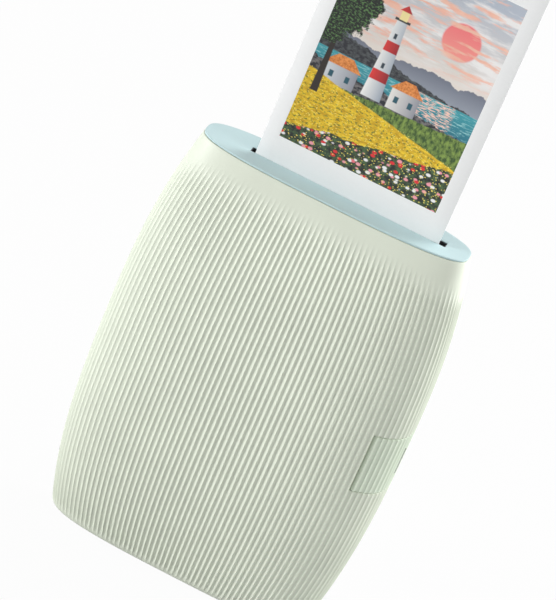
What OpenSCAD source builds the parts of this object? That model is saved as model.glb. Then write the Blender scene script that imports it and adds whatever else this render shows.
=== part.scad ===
// Compact photo printer that stands upright and feeds an instant print out of its top.
// +X is the side with the power button, -Y the ribbed front, +Y the film door, +Z up.
// The origin is the centre of the base, on the surface that the printer stands on.

/* [Body] */
// Height of the casing, without the print
body_h = 125; // [122:1:130]
// Width of the casing where it is widest, at mid height
body_w = 90; // [89:1:96]
// Depth of the casing where it is deepest, at mid height
body_d = 34.6; // [34.2:0.2:40]
// Width of the casing at its top and bottom edges
end_w = 77.5; // [77:0.5:82]
// Depth of the casing at its top and bottom edges
end_d = 19; // [18.6:0.2:23]
// Power of the barrel curve from mid height to the ends
barrel_power = 2.7; // [2.5:0.1:3.2]
// Power of the rounded oblong that is the casing's section
section_power = 3; // [2.9:0.1:3.4]
// Wall of the casing
wall = 1.6; // [1.4:0.1:1.7]
// Thickness of the lip that shows round the end caps
lip_t = 0.9; // [0.7:0.1:1.1]
// Thickness of the top and base caps
cap_t = 2; // [1.8:0.1:2.4]
// Radius of the casing's lower edge
base_r = 3.2; // [2.4:0.2:3.6]

/* [Ribs] */
// Distance from one rib to the next, along the section at mid height
rib_pitch = 1.6; // [1.4:0.1:2.4]
// Depth of the grooves between the ribs
rib_depth = 0.35; // [0.2:0.05:0.45]
// Height of the smooth band under the top edge
smooth_top = 6; // [5:0.5:9]
// Height of the smooth band over the bottom edge
smooth_base = 4.5; // [4:0.5:6]
// Height in which the ribs fade out
rib_fade = 6; // [4:1:8]

/* [Film] */
// Width of a print
film_w = 54; // [53:0.5:54.5]
// Height of a print
film_h = 86; // [84:0.5:86]
// Thickness of a print
film_t = 0.45; // [0.35:0.05:0.5]
// Print border under the picture
border_base = 17; // [15:0.5:18]
// Height of the picture's lower edge over the top cap
picture_lift = 7.4; // [7:0.1:8]
// Distance of the film's centre line from the casing's, towards the button
film_x = 3; // [2:0.5:3.5]
// Number of prints left in the pack
prints_left = 9; // [5:1:9]

/* [Slot] */
// Room in the slot beside a print, at each end
slot_room = 1.7; // [1.5:0.1:2.4]
// Depth of the slot in the top cap
slot_d = 2.9; // [2.6:0.1:3.2]

/* [Film pack] */
// Room in the pack beside a print, at each side
pack_room = 1.8; // [1.6:0.1:2]
// Depth of the film pack
pack_d = 11; // [10.5:0.1:11.2]
// Height of the pack's underside over the base
pack_z = 15; // [15:0.2:15.6]
// Wall of the pack's sides
pack_side = 1.2; // [1:0.1:1.3]
// Wall of the pack's front and its gap to the leading print
pack_front = 0.6; // [0.5:0.05:0.6]
// Wall of the pack's back, top and bottom
pack_back = 1; // [0.8:0.1:1.1]

/* [Rollers and gears] */
// Height of the roller nip under the casing's top
nip_drop = 7.5; // [7.4:0.1:7.8]
// Radius of the rubber drive roller
drive_r = 3; // [2.8:0.1:3.1]
// Radius of the pinch roller
pinch_r = 2.5; // [2.3:0.1:2.6]
// Radius of both roller shafts
shaft_r = 0.9; // [0.7:0.1:1]
// Gear module
gear_module = 0.5; // [0.5:0.01:0.52]
// Teeth of the gear on the drive roller
roller_teeth = 12; // [11:1:12]
// Teeth of the upper idler gear
upper_teeth = 16; // [14:1:16]
// Teeth of the lower idler gear
lower_teeth = 12; // [10:1:12]
// Teeth of the motor pinion
pinion_teeth = 8; // [8:1:9]
// Width of the gears
gear_w = 1.8; // [1.4:0.1:1.9]
// Diameter of the geared motor
motor_d = 8; // [7:0.2:8]
// Length of the geared motor
motor_l = 15; // [12:1:16]

/* [Film door] */
// Width of the film door round the back
door_w = 78; // [77:1:80]
// Height of the door's upper edge under the casing's top
door_drop = 17; // [16.5:0.5:17.5]
// Height of the hinge axis over the base
hinge_z = 9.5; // [9.4:0.1:9.8]
// Radius of the hinge knuckles
knuckle_r = 1.3; // [1.2:0.05:1.4]
// Radius of the hinge pins
pin_r = 0.7; // [0.6:0.05:0.75]
// Length of one hinge knuckle
knuckle_l = 7.2; // [6:0.2:8]
// Distance of the knuckles' middle from the centre line
knuckle_x = 16; // [14:0.5:16.5]

/* [Power button] */
// Height of the button panel
button_h = 18.4; // [16:0.4:20]
// Wrap of the button panel round to the front, from the middle of the side
button_front = 16.8; // [14:0.4:18]
// Wrap of the button panel round to the back, from the middle of the side
button_back = 9; // [8:0.2:10]
// Travel of the power button
button_travel = 0.4; // [0.3:0.05:0.5]
// Height of the status light's window
light_h = 8.4; // [7:0.2:9]
// Width of the status light's window
light_w = 1.3; // [1:0.1:1.6]

/* [Electronics] */
// Width of the battery
battery_w = 40; // [36:1:41]
// Height of the battery
battery_h = 50; // [44:1:50]
// Thickness of the battery
battery_t = 6.4; // [5:0.2:6.6]
// Width of the main board
board_w = 40; // [36:1:40]
// Height of the main board
board_h = 27; // [26:0.5:27]
// Thickness of the circuit boards
board_t = 1.2; // [0.8:0.1:1.4]

/* [Fits] */
// Gap round a part that moves
gap = 0.35; // [0.3:0.05:0.45]
// Gap between parts that are fastened together
seat_gap = 0.2; // [0.15:0.05:0.3]
// Radial clearance of a shaft in its bore
run = 0.05; // [0.03:0.01:0.08]

/* [Hidden] */

$fn = 48;
eps = 0.01;

sage = [0.86, 0.89, 0.82];
pale_blue = [0.78, 0.88, 0.90];
black_plastic = [0.12, 0.12, 0.13];
frame_grey = [0.55, 0.57, 0.58];
steel = [0.72, 0.73, 0.75];
board_green = [0.12, 0.38, 0.24];

// ---- Casing curves ----

function barrel(z) = pow(abs(2 * z / body_h - 1), barrel_power);
function edge_round(z) = z < base_r ? base_r - sqrt(pow(base_r, 2) - pow(base_r - z, 2)) : 0;
function half_w(z) = body_w / 2 - (body_w - end_w) / 2 * barrel(z) - edge_round(z);
function half_d(z) = body_d / 2 - (body_d - end_d) / 2 * barrel(z) - edge_round(z);

// Direction of a point on the section, in shares of its half width and half depth
function section_dir(angle) =
  let (r = pow(pow(abs(cos(angle)), section_power) + pow(abs(sin(angle)), section_power),
               1 / section_power))
  [cos(angle) / r, sin(angle) / r];

// Arc length along a quarter of the section at mid height, from the side to the face
quarter_points = [for (a = [0 : 90]) let (d = section_dir(a)) [body_w / 2 * d.x, body_d / 2 * d.y]];
quarter_steps = [for (a = [0 : 89]) norm(quarter_points[a + 1] - quarter_points[a])];
arc_to_angle = [for (a = 0, s = 0; a <= 90; s = s + (a < 90 ? quarter_steps[a] : 0), a = a + 1)
                [s, a]];
quarter = arc_to_angle[90][0];

// Angle of the place at arc length s: 0 is the side with the button, minus is the front
function angle_at(s) =
  let (t = abs(s))
  sign(s) * (t <= quarter ? lookup(t, arc_to_angle) : 180 - lookup(2 * quarter - t, arc_to_angle));

half_ribs = round(quarter / (rib_pitch / 2));
half_pitch = quarter / half_ribs;

function clamp01(v) = max(0, min(1, v));
function rib_share(s, z) =
  clamp01((z - smooth_base) / rib_fade) * clamp01((body_h - smooth_top - z) / rib_fade)
  * (0.5 - 0.5 * cos(180 * s / half_pitch));

function inset_point(s, z, inset) =
  let (d = section_dir(angle_at(s)))
  [(half_w(z) - inset) * d.x, (half_d(z) - inset) * d.y, z];
function skin_point(s, z, inset) = inset_point(s, z, inset + rib_depth * rib_share(s, z));

// Depth of the casing's surface, less an inset, over the place x, z
function surface_y(x, z, inset = 0) =
  let (w = half_w(z) - inset, d = half_d(z) - inset)
  d * pow(1 - pow(abs(x) / w, section_power), 1 / section_power);

function ring(z, inset, steps = 120) =
  [for (i = [0 : steps - 1])
    let (p = inset_point((2 * i / steps - 1) * 2 * quarter, z, inset)) [p.x, p.y]];

// ---- Casing panels ----

// One wall panel. cols are arc lengths, rows are [height, wall, outer inset], and an opening
// is [first col, last col, first row, last row]. The inner face uses fewer columns.
inner_step = 4;
module casing_panel(cols, rows, openings = []) {
  nc = len(cols);
  nr = len(rows);
  edges = concat([nc - 1], [for (o = openings) each [o[0], o[1]]]);
  keep = [for (i = [0 : nc - 1]) if (i % inner_step == 0 || len(search(i, edges)) > 0) i];
  ni = len(keep);
  outer = [for (r = rows) for (s = cols) skin_point(s, r[0], r[2])];
  inner = [for (r = rows) for (k = keep) inset_point(cols[k], r[0], r[1] + r[2])];
  function out(i, j) = j * nc + i;
  function inn(g, j) = nr * nc + j * ni + g;
  function solid(g, j) = g >= 0 && g < ni - 1 && j >= 0 && j < nr - 1
    && len([for (o = openings)
      if (keep[g] >= o[0] && keep[g + 1] <= o[1] && j >= o[2] && j + 1 <= o[3]) 1]) == 0;
  cells = [for (j = [0 : nr - 2]) for (g = [0 : ni - 2]) if (solid(g, j)) [g, j]];
  skin = [for (c = cells) for (i = [keep[c[0]] : keep[c[0] + 1] - 1])
    each [[out(i, c[1]), out(i + 1, c[1] + 1), out(i + 1, c[1])],
          [out(i, c[1]), out(i, c[1] + 1), out(i + 1, c[1] + 1)]]];
  lining = [for (c = cells) let (g = c[0], j = c[1])
    each [[inn(g, j), inn(g + 1, j), inn(g + 1, j + 1)],
          [inn(g, j), inn(g + 1, j + 1), inn(g, j + 1)]]];
  function rim(g, j) =
    let (a = keep[g], b = keep[g + 1], mid = floor((a + b) / 2))
    concat([[out(mid, j), inn(g + 1, j), inn(g, j)]],
           [for (i = [a : b - 1]) [out(i, j), out(i + 1, j), inn(i < mid ? g : g + 1, j)]]);
  bottoms = [for (c = cells) if (!solid(c[0], c[1] - 1)) each rim(c[0], c[1])];
  tops = [for (c = cells) if (!solid(c[0], c[1] + 1))
    each [for (t = rim(c[0], c[1] + 1)) [t[2], t[1], t[0]]]];
  lefts = [for (c = cells) let (g = c[0], j = c[1], k = keep[g]) if (!solid(g - 1, j))
    each [[inn(g, j), inn(g, j + 1), out(k, j + 1)], [inn(g, j), out(k, j + 1), out(k, j)]]];
  rights = [for (c = cells) let (g = c[0], j = c[1], k = keep[g + 1]) if (!solid(g + 1, j))
    each [[out(k, j), out(k, j + 1), inn(g + 1, j + 1)],
          [out(k, j), inn(g + 1, j + 1), inn(g + 1, j)]]];
  polyhedron(concat(outer, inner), concat(skin, lining, bottoms, tops, lefts, rights));
}

// ---- Places that several pieces share ----

button_z = body_h / 2;
button_lo = button_z - button_h / 2;
button_hi = button_z + button_h / 2;
button_cols_front = round(button_front / half_pitch);
button_cols_back = round(button_back / half_pitch);
light_col = -3; // place of the light's window, in half ribs from the side's middle
light_s = light_col * half_pitch;
door_lo = hinge_z + 0.2;
door_hi = body_h - door_drop;
door_cols = round(door_w / 2 / half_pitch);
hinge_y = surface_y(knuckle_x + knuckle_l / 2 + 1.5, hinge_z) - knuckle_r - 0.15;
// The door's lower corner swings past the casing here
door_corner = 1.4;
hinge_sweep = norm([surface_y(0, hinge_z + door_corner) - hinge_y, door_corner]);
door_frame_lo = hinge_z - hinge_sweep - gap;
door_frame_hi = door_hi + gap;

ledge = 0.1;
function wall_rows(levels) = [for (z = levels) [z, z < cap_t || z > body_h - cap_t ? lip_t : wall, 0]];
end_levels = [0, base_r * 0.3, cap_t - eps, cap_t + ledge];
top_levels = [body_h - cap_t - ledge, body_h - cap_t + eps, body_h];
side_levels_lo = [base_r, smooth_base + rib_fade];
side_levels_hi = [body_h - smooth_top - rib_fade, body_h - smooth_top];
// Heights between two others, for a smooth barrel
function between(lo, hi, count) = [for (i = [1 : count]) lo + (hi - lo) * i / (count + 1)];
barrel_lo = between(smooth_base + rib_fade, button_lo, 3);
barrel_hi = between(button_hi, body_h - smooth_top - rib_fade, 3);

film_front = -1.45;
film_back = film_front + film_t;
sheet_z = body_h + picture_lift - border_base;
nip_z = body_h - nip_drop;
drive_y = film_front - run - drive_r;
pinch_y = film_back + run + pinch_r;
roller_over = 0.8;
roller_l = film_w + 2 * roller_over;
plate_t = 1.2;
plate_gap = 0.4;
left_plate = film_x - roller_l / 2 - plate_gap - plate_t;
right_plate = film_x + roller_l / 2 + plate_gap;

pack_w = film_w + 2 * (pack_side + pack_room);
film_end_gap = 1;
pack_h = film_h + 2 * (pack_back + film_end_gap);
pack_x = film_x - pack_w / 2;
pack_y = film_front - 0.15 - pack_front;
pack_top = pack_z + pack_h;
stack_front = film_back + run;
stack_t = prints_left * film_t;

plate_back = pack_y - seat_gap;
deck_t = 1.4;
deck_y = plate_back - deck_t;
bay_wall = 1.2;
bay_left = pack_x - seat_gap - bay_wall;
bay_right = pack_x + pack_w + seat_gap;
bay_z = pack_z - 0.6 - plate_t;

roller_gear_at = [drive_y, nip_z];
function pitch_r(teeth) = teeth * gear_module / 2;
// Place of the next gear in a train: across is its forward step from the last one
function next_gear(last, teeth_a, teeth_b, across) =
  let (d = pitch_r(teeth_a) + pitch_r(teeth_b))
  [last[0] - across, last[1] - sqrt(d * d - across * across)];
upper_at = next_gear(roller_gear_at, roller_teeth, upper_teeth, 0.5);
lower_at = next_gear(upper_at, upper_teeth, lower_teeth, 2.7);
pinion_at = next_gear(lower_at, lower_teeth, pinion_teeth, 0.5);
gear_x = left_plate - 0.4 - gear_w;

module casing_colour() { color(sage) children(); }

module front_shell() {
  levels = concat(end_levels, side_levels_lo, barrel_lo, [button_lo, button_z, button_hi],
                  barrel_hi, side_levels_hi, top_levels);
  rows = wall_rows(levels);
  cols = [for (i = [-2 * half_ribs : 0]) i * half_pitch];
  lo = search(button_lo, levels)[0];
  casing_colour() {
    difference() {
      union() {
        casing_panel(cols, rows,
          [[len(cols) - 1 - button_cols_front, len(cols) - 1, lo, lo + 2]]);
        for (p = boss_places) {
          boss_y = -surface_y(p[0], p[1], wall / 2);
          translate([p[0], boss_y, p[1]]) rotate([-90, 0, 0])
            cylinder(r = boss_r, h = deck_y - seat_gap - boss_y);
        }
      }
      for (p = boss_places)
        translate([p[0], deck_y - seat_gap - screw_l, p[1]]) rotate([-90, 0, 0])
          cylinder(r = screw_r + run / 2, h = screw_l + 1);
    }
  }
}

boss_r = 2;
screw_r = 0.8;
screw_l = 4;
screw_head_r = 1.6;
screw_head_t = 0.8;
battery_inset = 6.4;
battery_x = bay_left + battery_inset;
battery_z = bay_z + 10;
boss_gap = boss_r + 1;
boss_places = [[battery_x - boss_gap, bay_z + 5],
  [battery_x + battery_w + 2 * boss_gap, bay_z + 5],
  [battery_x - boss_gap, battery_z + battery_h + 8],
  [battery_x + battery_w + 3 * boss_gap, battery_z + battery_h - 4]];

module rear_shell() {
  levels = concat(end_levels, [base_r, door_frame_lo, smooth_base + rib_fade], barrel_lo,
    [button_lo, button_z, button_hi], barrel_hi,
    [door_frame_hi, body_h - smooth_top - rib_fade / 2, body_h - smooth_top], top_levels);
  rows = wall_rows(levels);
  cols = [for (i = [0 : 2 * half_ribs]) i * half_pitch];
  lo = search(button_lo, levels)[0];
  door_row = search(door_frame_lo, levels)[0];
  door_top = search(door_frame_hi, levels)[0];
  casing_colour() casing_panel(cols, rows,
    [[0, button_cols_back, lo, lo + 2],
     [half_ribs - door_cols, half_ribs + door_cols, door_row, door_top]]);
}

module cap_plate(z, inset) {
  translate([0, 0, z]) linear_extrude(cap_t) difference() {
    polygon(ring(z < body_h / 2 ? 0 : body_h, inset));
    children();
  }
}

slot_w = film_w + 2 * slot_room;
slot_shift = 0.2;
slot_front_gap = 0.1;
slot_x = film_x + slot_shift - slot_w / 2;
slot_y = film_front - slot_front_gap;
chute_drop = 2;
chute_t = 1;
module slot_outline(grow = 0) {
  translate([slot_x - grow, slot_y - grow])
    square([slot_w + 2 * grow, slot_d + 2 * grow]);
}

module top_cap() {
  color(pale_blue) {
    cap_plate(body_h - cap_t, lip_t + 0.1) slot_outline();
    translate([0, 0, body_h - cap_t - chute_drop]) linear_extrude(chute_drop) difference() {
      slot_outline(chute_t);
      slot_outline();
    }
  }
}

usb_x = -19;
usb_w = 8.9;
usb_t = 3.2;
usb_l = 7.3;
usb_shell = 0.3;
usb_board_z = 3.2;
module stadium(w, t) {
  hull() for (side = [-1, 1]) translate([side * (w - t) / 2, 0]) circle(d = t);
}
module base_cap() {
  color(sage) cap_plate(0, lip_t + 0.1)
    translate([usb_x, 0]) stadium(usb_w + 2 * seat_gap, usb_t + 2 * seat_gap);
}

module usb_port() {
  inner_w = usb_w - 2 * usb_shell;
  inner_t = usb_t - 2 * usb_shell;
  tongue_w = 6.6;
  tongue_t = 0.7;
  color(steel) translate([usb_x, 0, 0.4]) {
    linear_extrude(usb_l) difference() {
      stadium(usb_w, usb_t);
      stadium(inner_w, inner_t);
    }
    translate([0, 0, usb_l - 1]) linear_extrude(1) stadium(inner_w, inner_t);
    translate([-tongue_w / 2, -tongue_t / 2, 1.2]) cube([tongue_w, tongue_t, usb_l - 1.5]);
  }
}
module usb_board() {
  color(board_green) translate([usb_x - usb_w, usb_t / 2 + 0.1, usb_board_z])
    cube([2 * usb_w, 1, bay_z - seat_gap - usb_board_z]);
}

// ---- Inner frame ----

ear_t = 1.2;
bay_depth = pack_d - 2;
ear_reach = hinge_y - (deck_y + deck_t + bay_depth) + 1;
module hinge_ear(x) {
  translate([x, 0, 0]) rotate([90, 0, 90]) linear_extrude(ear_t) difference() {
    union() {
      translate([hinge_y, hinge_z]) circle(r = knuckle_r);
      translate([hinge_y - ear_reach, hinge_z - knuckle_r]) square([ear_reach, knuckle_r]);
      translate([hinge_y - ear_reach, hinge_z - knuckle_r])
        square([ear_reach - knuckle_r, bay_z + plate_t - hinge_z + knuckle_r]);
    }
    translate([hinge_y, hinge_z]) circle(r = pin_r + run / 2);
  }
}

bush_r = 1.35;
plate_y0 = drive_y - bush_r - 0.4;
plate_y1 = pinch_y + bush_r + 1.4;
plate_top = nip_z + bush_r + 1;
motor_plate_y = min(lower_at[0], pinion_at[0]) - 2.6;
module roller_plate(x, gear_side) {
  translate([x, 0, 0]) rotate([90, 0, 90]) linear_extrude(plate_t) difference() {
    union() {
      translate([plate_y0, pack_top + 0.6])
        square([plate_y1 - plate_y0, plate_top - pack_top - 0.6]);
      translate([plate_y0, pack_top - 2]) square([plate_back - plate_y0, 3]);
      if (gear_side)
        translate([motor_plate_y, pinion_at[1] - motor_d / 2])
          square([plate_back - motor_plate_y, lower_at[1] + 3 - pinion_at[1] + motor_d / 2]);
    }
    translate(roller_gear_at) circle(r = bush_r + run / 2);
    translate([pinch_y, nip_z]) circle(r = bush_r + run / 2);
    if (gear_side) translate(pinion_at) circle(r = shaft_r + 0.3);
  }
}

claw_t = 0.45;
claw_h = 0.8;
claw_travel = 15.5;
claw_clear = 0.35;
gear_window = 9.3;
claw_z = pack_z + 0.1;
claw_tip = film_x - film_w / 2 + 1.2;
module chassis() {
  bay_w = bay_right + bay_wall - bay_left;
  color(frame_grey) {
    difference() {
      union() {
        translate([bay_left, deck_y, bay_z]) cube([bay_w, deck_t, pack_top + 0.6 - bay_z]);
        for (x = [bay_left, bay_right])
          translate([x, deck_y, bay_z]) cube([bay_wall, deck_t + bay_depth, pack_top - bay_z]);
        translate([bay_left, deck_y, bay_z]) cube([bay_w, deck_t + bay_depth, plate_t]);
        for (side = [-1, 1])
          for (x = [knuckle_x - knuckle_l / 2 - gap - ear_t, knuckle_x + knuckle_l / 2 + gap])
            hinge_ear(side > 0 ? x : -x - ear_t);
        roller_plate(left_plate, true);
        roller_plate(right_plate, false);
        for (g = [upper_at, lower_at])
          translate([gear_x - 0.3, g[0], g[1]]) rotate([0, 90, 0])
            cylinder(r = shaft_r, h = left_plate - gear_x + 0.3 + plate_t / 2);
      }
      for (p = boss_places) translate([p[0], deck_y - 1, p[1]]) rotate([-90, 0, 0]) {
        cylinder(r = screw_r + 0.15, h = deck_t + 2);
        translate([0, 0, 1 + deck_t - screw_head_t - 0.1])
          cylinder(r = screw_head_r + 0.15, h = 2);
      }
      translate([bay_left - 1, film_front - claw_clear, bay_z + plate_t - 0.1])
        cube([bay_wall + 2, film_t + 2 * claw_clear - 0.1, claw_travel + claw_h + 1.6]);
      translate([left_plate - seat_gap - gear_window, deck_y - 1, pack_top - 2.5])
        cube([gear_window, deck_t + 4, 10]);
    }
  }
}

module chassis_screws() {
  shank_l = deck_t + screw_l - 1.2;
  color(steel) for (p = boss_places)
    translate([p[0], deck_y + deck_t - screw_head_t - 0.05, p[1]]) rotate([-90, 0, 0])
      difference() {
        union() {
          cylinder(r = screw_head_r, h = screw_head_t);
          translate([0, 0, -shank_l]) cylinder(r = screw_r, h = shank_l);
        }
        for (a = [0, 90]) rotate(a)
          translate([-screw_head_r * 0.6, -0.2, screw_head_t - 0.35])
            cube([screw_head_r * 1.2, 0.4, 1]);
      }
}

module hinge_pins() {
  pin_l = knuckle_l + 2 * gap + 2 * ear_t;
  color(steel) for (side = [-1, 1])
    translate([side * knuckle_x - pin_l / 2, hinge_y, hinge_z]) rotate([0, 90, 0])
      cylinder(r = pin_r, h = pin_l);
}

// ---- Drive ----

// Involute outline of a gear, with its first tooth along the angle turn
backlash = 0.07;
function involute(base, t) =
  let (u = t * PI / 180)
  [base * (cos(t) + u * sin(t)), base * (sin(t) - u * cos(t))];
function roll_to(base, r) = 180 / PI * sqrt(max(0, pow(r / base, 2) - 1));
function turn2(p, a) = [p.x * cos(a) - p.y * sin(a), p.x * sin(a) + p.y * cos(a)];
function gear_outline(teeth, turn) =
  let (r = pitch_r(teeth), base = r * cos(20), tip = r + gear_module * 0.9,
       root = r - gear_module * 1.15,
       t_pitch = roll_to(base, r), p = involute(base, t_pitch), lead = atan2(p.y, p.x),
       half = 90 / teeth - backlash / 2 / r * 180 / PI,
       flank = [for (k = [0 : 3]) involute(base, roll_to(base, tip) * k / 3)])
  [for (i = [0 : teeth - 1]) let (mid = turn + i * 360 / teeth)
    each concat([turn2([root, 0], mid - half - lead)],
                [for (q = flank) turn2(q, mid - half - lead)],
                [for (k = [3 : -1 : 0]) turn2([flank[k].x, -flank[k].y], mid + half + lead)],
                [turn2([root, 0], mid + half + lead)])];
// Turn of the next gear, so that its gap meets the last gear's tooth
function mesh_turn(from, to, teeth_a, teeth_b, turn_a) =
  let (way = atan2(to[1] - from[1], to[0] - from[0]))
  way + 180 + 180 / teeth_b - (turn_a - way) * teeth_a / teeth_b;

upper_turn = mesh_turn(roller_gear_at, upper_at, roller_teeth, upper_teeth, 0);
lower_turn = mesh_turn(upper_at, lower_at, upper_teeth, lower_teeth, upper_turn);
pinion_turn = mesh_turn(lower_at, pinion_at, lower_teeth, pinion_teeth, lower_turn);

module gear_at(place, teeth, turn, bore) {
  translate([gear_x, place[0], place[1]]) rotate([90, 0, 90]) difference() {
    linear_extrude(gear_w) polygon(gear_outline(teeth, turn));
    translate([0, 0, -1]) cylinder(r = bore, h = gear_w + 2);
  }
}

shaft_l = right_plate + plate_t + 0.4 - gear_x + 0.2;
module drive_shaft() {
  color(steel) translate([gear_x - 0.2, drive_y, nip_z]) rotate([0, 90, 0])
    cylinder(r = shaft_r, h = shaft_l);
}
module drive_roller() {
  color(black_plastic) translate([film_x - roller_l / 2, drive_y, nip_z]) rotate([0, 90, 0])
    difference() {
      cylinder(r = drive_r, h = roller_l);
      translate([0, 0, -1]) cylinder(r = shaft_r + run / 2, h = roller_l + 2);
    }
}
module roller_gear() {
  color("white") gear_at(roller_gear_at, roller_teeth, 0, shaft_r + run / 2);
}
module upper_idler_gear() {
  color("white") gear_at(upper_at, upper_teeth, upper_turn, shaft_r + run);
}
module lower_idler_gear() {
  color("white") gear_at(lower_at, lower_teeth, lower_turn, shaft_r + run);
}

motor_shaft_r = 0.5;
module motor_pinion() {
  color(steel) {
    gear_at(pinion_at, pinion_teeth, pinion_turn, motor_shaft_r - eps);
    translate([gear_x, pinion_at[0], pinion_at[1]]) rotate([0, 90, 0])
      cylinder(r = motor_shaft_r, h = left_plate + plate_t + 0.4 + 2 - gear_x);
  }
}
module gear_motor() {
  color(steel) translate([left_plate + plate_t + seat_gap, pinion_at[0], pinion_at[1]])
    rotate([0, 90, 0]) difference() {
      union() {
        cylinder(d = motor_d, h = motor_l);
        translate([0, 0, motor_l - eps]) cylinder(d = motor_d * 0.4, h = 0.8);
      }
      translate([0, 0, -1]) cylinder(r = motor_shaft_r + run, h = 4.5);
    }
}
module pinch_roller() {
  stub = plate_gap + plate_t + 0.9;
  color(black_plastic) translate([film_x - roller_l / 2, pinch_y, nip_z]) rotate([0, 90, 0]) {
    cylinder(r = pinch_r, h = roller_l);
    translate([0, 0, -stub]) cylinder(r = shaft_r, h = roller_l + 2 * stub);
  }
}
module roller_bushes() {
  color([0.9, 0.88, 0.8]) for (x = [left_plate, right_plate]) for (y = [drive_y, pinch_y])
    translate([x, y, nip_z]) rotate([0, 90, 0]) difference() {
      cylinder(r = bush_r, h = plate_t);
      translate([0, 0, -1]) cylinder(r = shaft_r + run, h = plate_t + 2);
    }
}
module pinch_springs() {
  leaf_t = 0.5;
  leaf_w = 0.7;
  leaf_over = 1.5;
  leaf_drop = 9;
  seat_t = 1.6;
  seat_h = 2;
  leaf_gap = 0.1;
  leaf_y = pinch_y + shaft_r + leaf_gap;
  color(steel) for (x = [left_plate - leaf_w - leaf_gap, right_plate + plate_t + leaf_gap])
    translate([x, leaf_y, nip_z - leaf_drop]) {
      cube([leaf_w, leaf_t, leaf_drop + leaf_over]);
      translate([0, 0, -seat_h]) cube([leaf_w, seat_t, seat_h + 0.2]);
    }
}

// ---- Exposure, film and pack ----

head_z = pack_top + 1.2;
head_h = 6.4;
head_d = 8.6;
lens_h = 1.6;
lens_d = 2.2;
lens_z = head_z + (head_h - lens_h) / 2;
module exposure_head() {
  color(black_plastic) difference() {
    translate([film_x - roller_l / 2 + 0.1, film_back + 0.45, head_z])
      cube([roller_l - 0.2, head_d, head_h]);
    translate([film_x - film_w / 2 - 0.1, film_back - 1, lens_z - 0.1])
      cube([film_w + 0.2, lens_d + 1.1, lens_h + 0.2]);
  }
}
module lens_array() {
  color([0.3, 0.35, 0.4]) translate([film_x - film_w / 2, film_back + 0.3, lens_z])
    cube([film_w, lens_d - 0.3, lens_h]);
}
module head_flex() {
  flex_x = right_plate + plate_t + 0.3;
  flex_y = plate_y0 - 1;
  flex_t = 0.3;
  tail_w = 2.8;
  tail_l = 7;
  color([0.75, 0.5, 0.2]) {
    translate([flex_x, flex_y, pack_top - tail_l])
      cube([flex_t, tail_w, head_z + head_h - pack_top + tail_l]);
    translate([flex_x, flex_y, head_z]) cube([flex_t, film_back - flex_y + 1.4, head_h]);
  }
}
module light_flap() {
  flap_h = 1.2;
  flap_y = film_back + 0.35;
  color(black_plastic)
    translate([slot_x + 0.3, flap_y, body_h - cap_t - chute_drop + 0.3])
      cube([slot_w - 0.6, slot_y + slot_d - flap_y - 0.05, flap_h]);
}

module film_pack() {
  cut = 0.4;
  color(black_plastic) difference() {
    translate([pack_x, pack_y, pack_z]) linear_extrude(pack_h) difference() {
      square([pack_w, pack_d]);
      for (x = [0, pack_w]) translate([x, pack_d]) rotate(45) square(2.6, center = true);
    }
    translate([pack_x + pack_side, pack_y + pack_front, pack_z + pack_back])
      cube([pack_w - 2 * pack_side, pack_d - pack_front - pack_back - 0.4, pack_h - 2 * pack_back]);
    translate([film_x - film_w / 2 - cut, pack_y + pack_front, pack_top - pack_back - 1])
      cube([film_w + 2 * cut, 0.15 + film_t + 0.1, pack_back + 2]);
    translate([pack_x - 1, pack_y + pack_front - 0.1, pack_z - 1])
      cube([claw_tip + 0.3 - pack_x + 1, film_t + 0.3, claw_travel + claw_h + 2]);
  }
}
module film_stack() {
  color([0.92, 0.93, 0.92]) translate([film_x - film_w / 2, stack_front, pack_z + pack_back + 0.4])
    cube([film_w, stack_t, film_h]);
}

// A bowed leaf in the y-z plane, from z0 to z1, with its ends at y_end and its belly at y_mid
module leaf_spring(x, w, z0, z1, y_end, y_mid, t) {
  steps = 12;
  function bow(k) = y_mid + (y_end - y_mid) * pow(2 * k / steps - 1, 2);
  translate([x, 0, 0]) rotate([90, 0, 90]) linear_extrude(w) polygon(concat(
    [for (k = [0 : steps]) [bow(k), z0 + (z1 - z0) * k / steps]],
    [for (k = [steps : -1 : 0]) [bow(k) + t, z0 + (z1 - z0) * k / steps]]));
}

module pack_spring() {
  sheet_t = 0.4;
  sheet_inset = 1;
  sheet_lift = 3;
  leaf_x = 10;
  leaf_w = 8;
  leaf_end = 16;
  plate_y = stack_front + stack_t + 0.1;
  back_y = pack_y + pack_d - pack_back - sheet_t;
  color(steel) {
    translate([film_x - film_w / 2 + sheet_inset, plate_y, pack_z + sheet_lift])
      cube([film_w - 2 * sheet_inset, sheet_t, film_h - sheet_lift]);
    for (side = [-1, 1])
      leaf_spring(film_x + side * leaf_x - leaf_w / 2, leaf_w, pack_z + leaf_end,
        pack_top - leaf_end, plate_y + 0.3, back_y - 0.5, sheet_t);
  }
}

module print_sheet() {
  color("white") translate([film_x - film_w / 2, film_back, sheet_z]) rotate([90, 0, 0])
    linear_extrude(film_t) square([film_w, film_h]);
}

module picker_claw() {
  carriage = 2.2;
  carriage_x = bay_left - 0.3 - carriage;
  color(frame_grey) {
    translate([carriage_x, film_front - 1.6, claw_z - 1]) cube([carriage, 3.4, 5]);
    translate([carriage_x, film_front - 0.05, claw_z])
      cube([claw_tip - carriage_x, claw_t, claw_h]);
  }
}

// ---- Film door ----

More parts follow.
